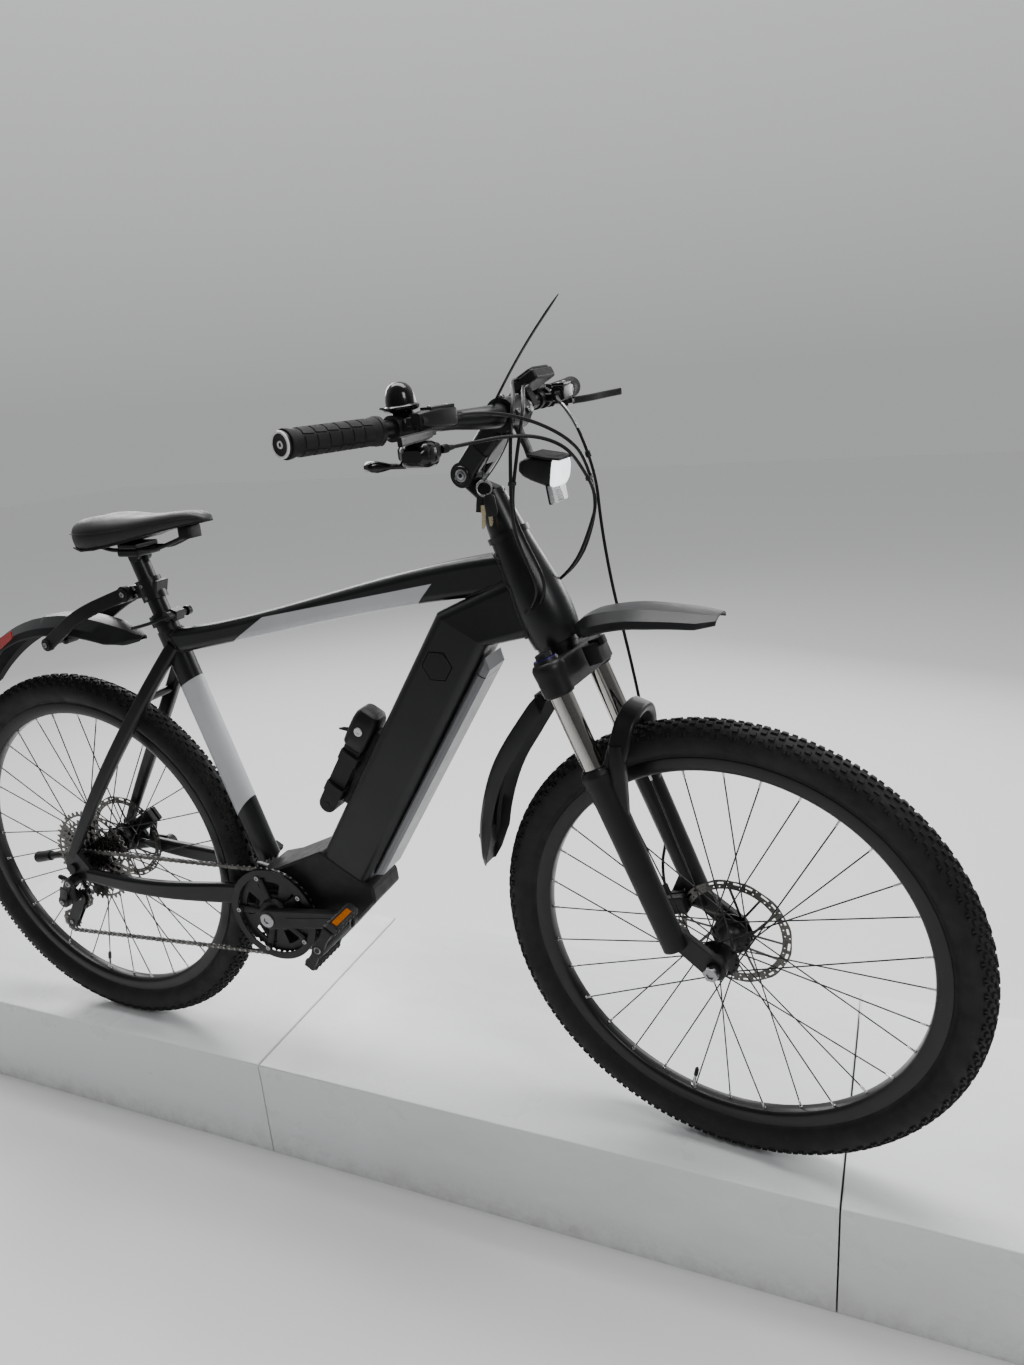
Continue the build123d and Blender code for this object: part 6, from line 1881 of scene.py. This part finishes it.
def build_front_guard():
    """The front mudguard: a faceted blade ahead of the crown and a framed one behind the wheel."""
    shape = Shape()
    ahead = smooth_line(
        [(0.536, 0.043), (0.5435, 0.062), (0.5445, 0.086), (0.533, 0.138), (0.510, 0.194), (0.482, 0.250)], 40
    )
    widths = ((0, 0.024, 0.014), (0.12, 0.036, 0.022), (0.35, 0.043, 0.025), (0.7, 0.044, 0.020),
              (0.92, 0.038, 0.015), (1, 0.024, 0.009))
    guard_blade(shape, ahead, on_fork, -1, widths, CREST)
    behind = smooth_line(
        [(0.213, -0.301), (0.300, -0.253), (0.380, -0.182), (0.447, -0.082), (0.4600, -0.052)], 40
    )
    widths = ((0, 0.016, 0.003), (0.05, 0.027, 0.010), (0.16, 0.034, 0.022), (0.6, 0.037, 0.027),
              (0.88, 0.033, 0.022), (1, 0.024, 0.012))
    guard_blade(shape, behind, on_fork, -1, widths, PANEL)
    shape.mark = 1
    framed = behind[6:37]
    rail_widths = ((0, 0.031), (0.6, 0.037), (0.9, 0.033), (1, 0.028))
    rib = rounded(0.0060, 0.0056, 0.0016, 2)
    for share in (-0.70, 0.70):
        along_guard(
            shape, framed, on_fork, -1, rail_widths,
            lambda half: [(half * share + x, y - 0.0050) for x, y in rib],
        )
    for p in (behind[6], behind[36]):
        shape.sweep([on_fork(p, -0.024), on_fork(p, 0.024)], rounded(0.006, 0.008, 0.0015, 2))
    for low, ahead_at, long, wide, deep, corner in (
        (0.504, 0.055, 0.024, 0.040, 0.030, 0.004), (0.453, -0.036, 0.044, 0.034, 0.008, 0.004),
        (0.508, 0.062, 0.024, 0.016, 0.012, 0.003),
    ):
        block = rounded(long, wide, corner, 3)
        shape.slab(block, fork(low, ahead_at), turned(FORK_AHEAD), -BAR_LEFT, deep, 0.001)
    for y in (-0.008, 0.008):
        shape.bolt(fork(0.516, 0.0675, y), turned(FORK_AHEAD), 0.0035, 0.0022)
    shape.object(
        "front_mudguard", [FENDER, PLASTIC], "steerer", "fender_plastic", ["front_fender"], bevel=0.0006,
        sharp=24
    )


BLADE_X, BLADE_Z = 0.030, 0.809  # where the rear blade tilts on its arm


def build_rear_guard():
    """The rear mudguard's faceted blade, its lug and pins, and the red light at its tail."""
    shape = Shape()
    line = smooth_line(
        [(-0.254, 0.700), (-0.200, 0.756), (-0.133, 0.806), (-0.050, 0.843), (0.046, 0.857), (0.150, 0.843),
         (0.211, 0.819)], 52
    )
    widths = ((0, 0.026, 0.010), (0.05, 0.036, 0.020), (0.3, 0.041, 0.026), (0.62, 0.0415, 0.032),
              (0.85, 0.036, 0.032), (0.95, 0.024, 0.022), (1, 0.009, 0.008))
    guard_blade(shape, line, on_bike, 1, widths, CREST)
    shape.mark = 1
    shape.lathe([(-0.013, 0.0100), (0.013, 0.0100)], bike(BLADE_X, 0, BLADE_Z), SIDE, 28)
    for side in (-1, 1):
        shape.rod(bike(BLADE_X, side * 0.012, BLADE_Z), bike(BLADE_X, side * 0.0555, BLADE_Z), 0.0050)
    shape.slab(rounded(0.026, 0.036, 0.004, 3), bike(BLADE_X, -0.012, 0.832), AHEAD, UP, -0.024)
    shape.mark = 0
    lift = Vector((-0.71, 0, 0.70))
    shape.slab(
        rounded(0.046, 0.034, 0.006, 4), bike(-0.2325, 0, 0.738), SIDE, Vector((0.70, 0, 0.71)), -0.012, 0.0
    )
    shape.mark = 2
    shape.slab(
        rounded(0.042, 0.030, 0.006, 4), bike(-0.2330, 0, 0.7385) + lift * 0.0005, Vector((0.70, 0, 0.71)),
        -SIDE, 0.0075, 0.002
    )
    strip = [(-0.118, 0.8075), (-0.066, 0.8290), (-0.068, 0.8150), (-0.104, 0.7930), (-0.126, 0.7840)]
    for side in (-1, 1):
        shape.slab(strip, bike(0, side * 0.0405, 0), AHEAD, UP, -0.0030 * side)
    shape.object(
        "rear_mudguard", [FENDER, PLASTIC, RED_LENS], "fender_blade", "fender_plastic", ["rear_fender_blade"],
        bevel=0.0006, sharp=24,
    )
    bolts = Shape()
    for side in (-1, 1):
        for at, reach in (
            (bike(0.205, side * 0.0245, 0.898), 0.0105), (bike(BLADE_X, side * 0.0545, BLADE_Z), 0.0090)
        ):
            out = SIDE * side
            bolts.mark = 0
            bolts.lathe([(-0.001, reach), (0.0012, reach), (0.0022, reach * 0.88)], at, out, 30)
            bolts.mark = 1
            bolts.bolt(at + out * 0.002, out, 0.0048, 0.0026)
    bolts.object("arm_bolts", [PLASTIC, STEEL], "fender_arm", "plain_steel")


# ---------------------------------------------------------------- frame
PAINT_EDGE = 0.0005  # half the width over which one paint turns into the next


def half_plane(n, at, toward):
    """1 on the side of a plane through a point that a direction points to."""
    return n.ramp(along_line(n, at, Vector(toward).normalized()), -PAINT_EDGE, PAINT_EDGE)


def top_tube_panel(n):
    """The white panel on the tube's sides, cut slantwise at both ends."""
    mask = half_plane(n, bike(0.439, 0, 0.831), (0.537, 0, -0.844))
    mask = n.math("MULTIPLY", mask, half_plane(n, bike(0.781, 0, 0.890), (-0.746, 0, 0.666)))
    mask = n.math("MULTIPLY", mask, half_plane(n, bike(0.503, 0, 0.8650), (0.182, 0, -0.983)))
    off = n.math("ABSOLUTE", n.math("SUBTRACT", n.axis("Y"), bike(0, 0, 0).y), 0.0)
    return n.math("MULTIPLY", mask, n.ramp(off, 0.0065, 0.0072))


def seat_tube_panel(n):
    mask = half_plane(n, bike(0.322, 0, 0.751), (0.510, 0, -0.860))
    return n.math("MULTIPLY", mask, half_plane(n, bike(0.398, 0, 0.532), (-0.778, 0, 0.628)))


def cover_face(n):
    """Grey, with a thin dark joint near the upper end."""
    joint = along_line(n, bike(0.7895, 0, 0.840), Vector((-0.524, 0, -0.852)))
    return n.math("SUBTRACT", 1.0, between(n, joint, -0.0012, 0.0012, 0.0004))


SEAM_GAP = 0.0005  # skins nearer than this count as meeting
SEAM_FOLD = math.radians(18)  # an edge that bends less is no seam


def seam_loops(node, other):
    """The outer edges where one node's skin meets another's, as chains of points."""
    mesh, target = nodes[node].data, nodes[other].data
    tree = BVHTree.FromPolygons([v.co for v in target.vertices], [p.vertices for p in target.polygons])
    work = bmesh.new()
    work.from_mesh(mesh)
    bmesh.ops.remove_doubles(work, verts=work.verts, dist=1e-5)
    links = {}
    spots = {}
    for e in work.edges:
        hits = [tree.find_nearest(v.co, 0.004) for v in e.verts]
        if any(h[0] is None or h[3] > SEAM_GAP for h in hits) or len(e.link_faces) != 2:
            continue
        if e.link_faces[0].normal.angle(e.link_faces[1].normal, 0) < SEAM_FOLD:
            continue
        a, b = e.verts
        for v in (a, b):
            spots[v.index] = v.co.copy()
        links.setdefault(a.index, []).append(b.index)
        links.setdefault(b.index, []).append(a.index)
    work.free()
    chains = []
    used = set()
    for start in sorted(links, key=lambda i: len(links[i])):
        if start in used:
            continue
        chain = [start]
        used.add(start)
        while True:
            ahead = [i for i in links[chain[-1]] if i not in used]
            if not ahead:
                break
            chain.append(ahead[0])
            used.add(ahead[0])
        chains.append([spots[i] for i in chain])
    return chains


def even(line, pitch):
    """The same line with points a pitch apart."""
    made = [line[0]]
    spare = 0.0
    for a, b in zip(line, line[1:]):
        length = (b - a).length
        at = pitch - spare
        while at < length:
            made.append(a + (b - a) * (at / length))
            at += pitch
        spare = length - (at - pitch)
    return made


BEAD_LONG, BEAD_WIDE, BEAD_H = 0.0019, 0.0043, 0.0019  # a weld coin's half length, half width and height
BEAD_PITCH, BEAD_MIN = 0.0024, 0.03  # from coin to coin, and the shortest seam that is welded


def bead(shape, line, middle):
    """Overlapping coins of weld along a line, standing out from a middle point's axis."""
    for i, p in enumerate(line[:-1]):
        along = (line[i + 1] - p).normalized()
        out = p - middle(p)
        out = (out - along * out.dot(along)).normalized()
        across = along.cross(out)
        rings = []
        for lift, size in ((-0.0006, 1.0), (BEAD_H * 0.45, 0.92), (BEAD_H * 0.85, 0.62), (BEAD_H, 0.25)):
            rings.append([
                p + out * lift + along * (BEAD_LONG * size * x) + across * (BEAD_WIDE * size * y)
                for x, y in circle(1.0, 10)
            ])
        shape.rings(rings)


def build_welds():
    """Rippled weld beads where the frame's tubes meet."""
    shape = Shape()
    for node, other, low, high in (
        ("top_tube", "head_tube", bike(0.60, 0, 0.885), bike(0.93, 0, 0.934)),
        ("down_tube", "head_tube", bike(0.70, 0, 0.70), bike(0.95, 0, 0.87)),
        ("top_tube", "down_tube", bike(0.60, 0, 0.885), bike(0.90, 0, 0.925)),
        ("top_tube", "seat_tube", bike(0.30, 0, 0.820), bike(0.60, 0, 0.880)),
    ):
        run = (high - low).normalized()
        chains = seam_loops(node, other)
        lengths = [sum((b - a).length for a, b in zip(chain, chain[1:])) for chain in chains]
        for chain, length in zip(chains, lengths):
            if length >= max(0.6 * max(lengths), BEAD_MIN):
                bead(shape, even(chain, BEAD_PITCH), lambda p: low + run * (p - low).dot(run))
    if shape.verts:
        shape.object("weld_beads", [FRAME_BLACK], "frame", "frame_black", sharp=60)


def build_frame_details():
    """Painted panels, the welds, the lower headset cup, and the drive unit's screws and cap."""
    for node, name, pair, inside in (
        ("top_tube", "top_tube_paint", WHITE_PAIR, top_tube_panel),
        ("seat_tube", "seat_tube_paint", WHITE_PAIR, seat_tube_panel),
        ("battery_cover", "cover_paint", GREY_PAIR, cover_face),
    ):
        paint([node], panelled(name, pair, inside))
    build_welds()
    shape = Shape()
    shape.lathe(
        [(0, 0.0270), (0.0012, 0.0274), (0.0030, 0.0268), (0.0075, 0.0225), (0.0088, 0.0215),
         (0.0088, 0.0165)], fork_axis(0.6885), HEAD_UP, 56
    )
    shape.mark = 1
    for x, z in ((0.405, 0.392), (0.478, 0.395), (0.520, 0.300), (0.400, 0.268)):
        shape.bolt(bike(x, -0.0445, z), -SIDE, 0.0036, 0.0022)
    shape.mark = 2
    shape.lathe(
        [(-0.001, 0.0345), (0.0010, 0.0345), (0.0020, 0.0335), (0.0020, 0.0310)],
        bike(0.448, -0.0500, 0.327), -SIDE, 56
    )
    shape.object("frame_caps_and_screws", [FRAME_BLACK, STEEL, PLASTIC], "frame", "plain_steel")


def fork_axis(up):
    """A point on the steering axis, up it from the fork's foot, without the bars' turn."""
    return FORK_FOOT + HEAD_UP * up


# ---------------------------------------------------------------- fork
ANODISED = brushed("anodised_violet", (0.035, 0.030, 0.16), (0.08, 0.06, 0.30), (0.22, 0.36), (1, 1, 1), 500)


def build_fork_details():
    """Leg sockets, caps and seals of the suspension fork, and the clamp bolt of the stem's base."""
    shape, seals = Shape(), Shape()
    axis = (fork(1.0) - fork(0.0)).normalized()
    for side in (-1, 1):
        foot = fork(0.0, 0.010, side * 0.065)
        shape.mark = 0
        shape.lathe(
            [(0.4585, 0.0192), (0.4585, 0.0212), (0.4605, 0.0218), (0.497, 0.0248), (0.503, 0.0246),
             (0.5075, 0.0222), (0.5092, 0.0195)],
            foot, axis, 56,
        )
        seals.lathe(
            [(0.330, 0.0162), (0.330, 0.0232), (0.3335, 0.0236), (0.3365, 0.0222), (0.3405, 0.0200),
             (0.3405, 0.0162)],
            foot, axis, 56, closed=True,
        )
        seals.lathe(
            [(0.341, 0.0158), (0.341, 0.0176), (0.3425, 0.0180), (0.3440, 0.0168), (0.3440, 0.0158)],
            foot, axis, 48, closed=True,
        )
        if side < 0:
            shape.mark = 1
            shape.lathe(
                [(0.508, 0.0178), (0.5125, 0.0178), (0.5150, 0.0168), (0.5156, 0.0120)], foot, axis, 48
            )
            shape.mark = 2
            shape.lathe([(0.5150, 0.0128), (0.5215, 0.0124), (0.5225, 0.0108)], foot, axis, 12)
        else:
            shape.mark = 2
            shape.lathe([(0.508, 0.0176), (0.5140, 0.0172), (0.5156, 0.0150)], foot, axis, 48)
    shape.mark = 3
    shape.bolt(fork(0.752, 0.021), turned((0.93, 0, 0.37)), 0.0040, 0.0030)
    shape.object("fork_caps", [CAST_BLACK, ANODISED, PLASTIC, STEEL], "steerer", "cast_black")
    seals.object("leg_seals", [CAST_BLACK], "lowers", "cast_black")


WEB = (
    (0.362, 0.054, 0.0575), (0.346, 0.048, 0.060), (0.322, 0.039, 0.061), (0.296, 0.031, 0.0625),
    (0.268, 0.024, 0.0635), (0.240, 0.018, 0.064),
)


def build_leg_details():
    """Axle nut, lug screws, bridge webs and hose guide of the fork's lower legs."""
    ease(["fork_lowers", "fork_crown", "front_caliper", "rear_caliper"], 0.0020)
    shape = Shape()
    out = -BAR_LEFT
    at = FRONT_AXLE + out * 0.0760
    shape.lathe(
        [(-0.003, 0.0122), (0.0010, 0.0122), (0.0024, 0.0112), (0.0024, 0.0062), (0.0002, 0.0060)], at, out, 6
    )
    for up, ahead in ((0.088, 0.004), (0.098, 0.016)):
        shape.bolt(fork(up, ahead, -0.0645), out, 0.0028, 0.0018)
    shape.mark = 2
    for side in (-1, 1):
        web = [fork(up, ahead, side * left) for up, ahead, left in WEB]
        shape.sweep(
            web, rounded(0.024, 0.026, 0.009, 5), hint=turned(FORK_AHEAD),
            scales=[0.80, 0.98, 1.0, 0.92, 0.70, 0.40]
        )
    shape.mark = 1
    guide = fork(0.300, 0.016, 0.094)
    shape.lathe([(-0.005, 0.0048), (0.005, 0.0048)], guide, fork(0.36, 0.028, 0.099) - guide, 16)
    shape.rod(fork(0.300, 0.016, 0.0875), fork(0.300, 0.016, 0.0905), 0.0035)
    shape.object("leg_details", [STEEL, PLASTIC, CAST_BLACK], "lowers", "cast_black")


# ---------------------------------------------------------------- folding lock
LINK_HALF, LINK_END_R = 0.070, 0.0160  # a lock link's half length between its pins, and its round ends
LOCK_LEAN = math.radians(58.4)


def build_lock():
    """A folded link lock in its frame bracket: links side by side below a rounded lock case."""
    shape = Shape()
    run = Vector((math.cos(LOCK_LEAN), 0, math.sin(LOCK_LEAN)))
    off = Vector((-run.z, 0, run.x))
    middle = bike(0.554, 0, 0.453) + run * 0.172 + off * 0.032

    def at(along, out, y=0.0):
        return middle + run * along + off * out + SIDE * y

    shape.mark = 0
    shape.slab(rounded(0.156, 0.026, 0.004, 3), at(0, -0.0290), run, SIDE, 0.011, 0.001)
    for y in (-0.0175, -0.0088, 0.0, 0.0088, 0.0175):
        outline = []
        for end in (1, -1):
            for k in range(9):
                over, beside = around(LINK_END_R, -90 + k * 22.5)
                outline.append((end * (LINK_HALF + over), end * beside))
        shape.slab(outline, at(-0.026, 0.0020, y + 0.0032), run, off, 0.0066, 0.0010)
        shape.lathe([(-0.0005, 0.0052), (0.0008, 0.0048)], at(-0.096, 0.0020, y - 0.0034), -SIDE, 18)
    shape.mark = 1
    case = [(-0.034, 0.86, 0.80), (-0.029, 0.98, 0.95), (-0.010, 1, 1), (0.016, 1, 1), (0.030, 0.94, 0.93),
            (0.038, 0.78, 0.76), (0.0415, 0.5, 0.5)]
    outline = rounded(0.048, 0.047, 0.013, 5)
    rings = []
    for s, sx, sy in case:
        rings.append([at(0.062 + s, 0.0030 + y * sy, x * sx) for x, y in outline])
    shape.rings(rings)
    shape.mark = 0
    for s in (-0.060, 0.010):
        band = rounded(0.053, 0.0385, 0.006, 4)
        shape.rings([[at(s + ds, 0.0005 + y, x) for x, y in band] for ds in (-0.009, 0.009)])
    shape.mark = 2
    shape.lathe(
        [(-0.001, 0.0078), (0.0012, 0.0078), (0.0020, 0.0070), (0.0020, 0.0034), (0.0006, 0.0030)],
        at(0.066, 0.004, -0.0238), -SIDE, 32
    )
    shape.mark = 0
    tail = [at(0.052, 0.022, -0.010), at(0.048, 0.032, -0.012), at(0.042, 0.041, -0.012)]
    shape.sweep(tail, rounded(0.0085, 0.0030, 0.001, 2), hint=SIDE, scales=[1, 0.8, 0.35])
    shape.object(
        "folded_link_lock", [PLASTIC, CAST_BLACK, SILVER], "frame", "black_plastic", ["folding_lock"],
        bevel=0.0008, sharp=30
    )


def build_post_details():
    """Screws of the seatpost's bracket and clamp, after the soft edges of the parts round it."""
    ease(
        ["seatpost", "seat_collar", "rear_fender_arm", "chainstays", "seatstays", "drive_unit",
         "kickstand_leg"], 0.0016
    )
    shape = Shape()
    for x, z in ((0.221, 0.906), (0.239, 0.904), (0.225, 0.894)):
        shape.bolt(bike(x, -0.0133, z), -SIDE, 0.0034, 0.0022)
    for s in (0.030, 0.052):
        shape.bolt(bike(0.262, -0.0195, 0.862) + Vector((-0.30 * s, 0, 0.954 * s)), -SIDE, 0.0030, 0.0030)
    shape.object("post_screws", [STEEL], "seatpost", "plain_steel")


# ---------------------------------------------------------------- the whole scene
def main():
    """The cords come first, after the camera and the paint of the carried-over CAD nodes."""
    set_camera()
    set_light()
    set_floor()
    for material, names in (
        (FRAME_BLACK, ("head_tube", "down_tube", "seatstays", "seat_collar", "chainstays", "seatpost")),
        (FRAME_BLACK, ("handlebar", "stem_arm", "stem_base")),
        (CAST_BLACK, ("fork_lowers", "fork_crown", "crank_arms", "front_axle", "rear_axle", "kickstand_leg")),
        (CAST_BLACK, ("rear_caliper", "front_caliper", "derailleur_body", "derailleur_cage", "saddle_rails")),
        (CAST_BLACK, ("right_brake_lever", "left_brake_lever", "shift_lever")),
        (PLASTIC,
         ("drive_unit", "charge_flap", "brake_perches", "shifter_pod", "display_unit", "rear_fender_arm")),
        (PACK, ("battery",)),
        (CHROME, ("stanchions",)),
        (WHITE_BOARD, ("display_plinth",)),
    ):
        paint(names, material)
    for build in (
        build_hoses, build_cable_tie, build_keys, build_wheels,
        build_drive, build_grips, build_brakes, build_shifter,
        build_bell, build_lamp, build_display, build_stem, build_saddle, build_front_guard, build_rear_guard,
        build_frame_details, build_fork_details, build_leg_details, build_lock, build_post_details,
    ):
        build()


main()
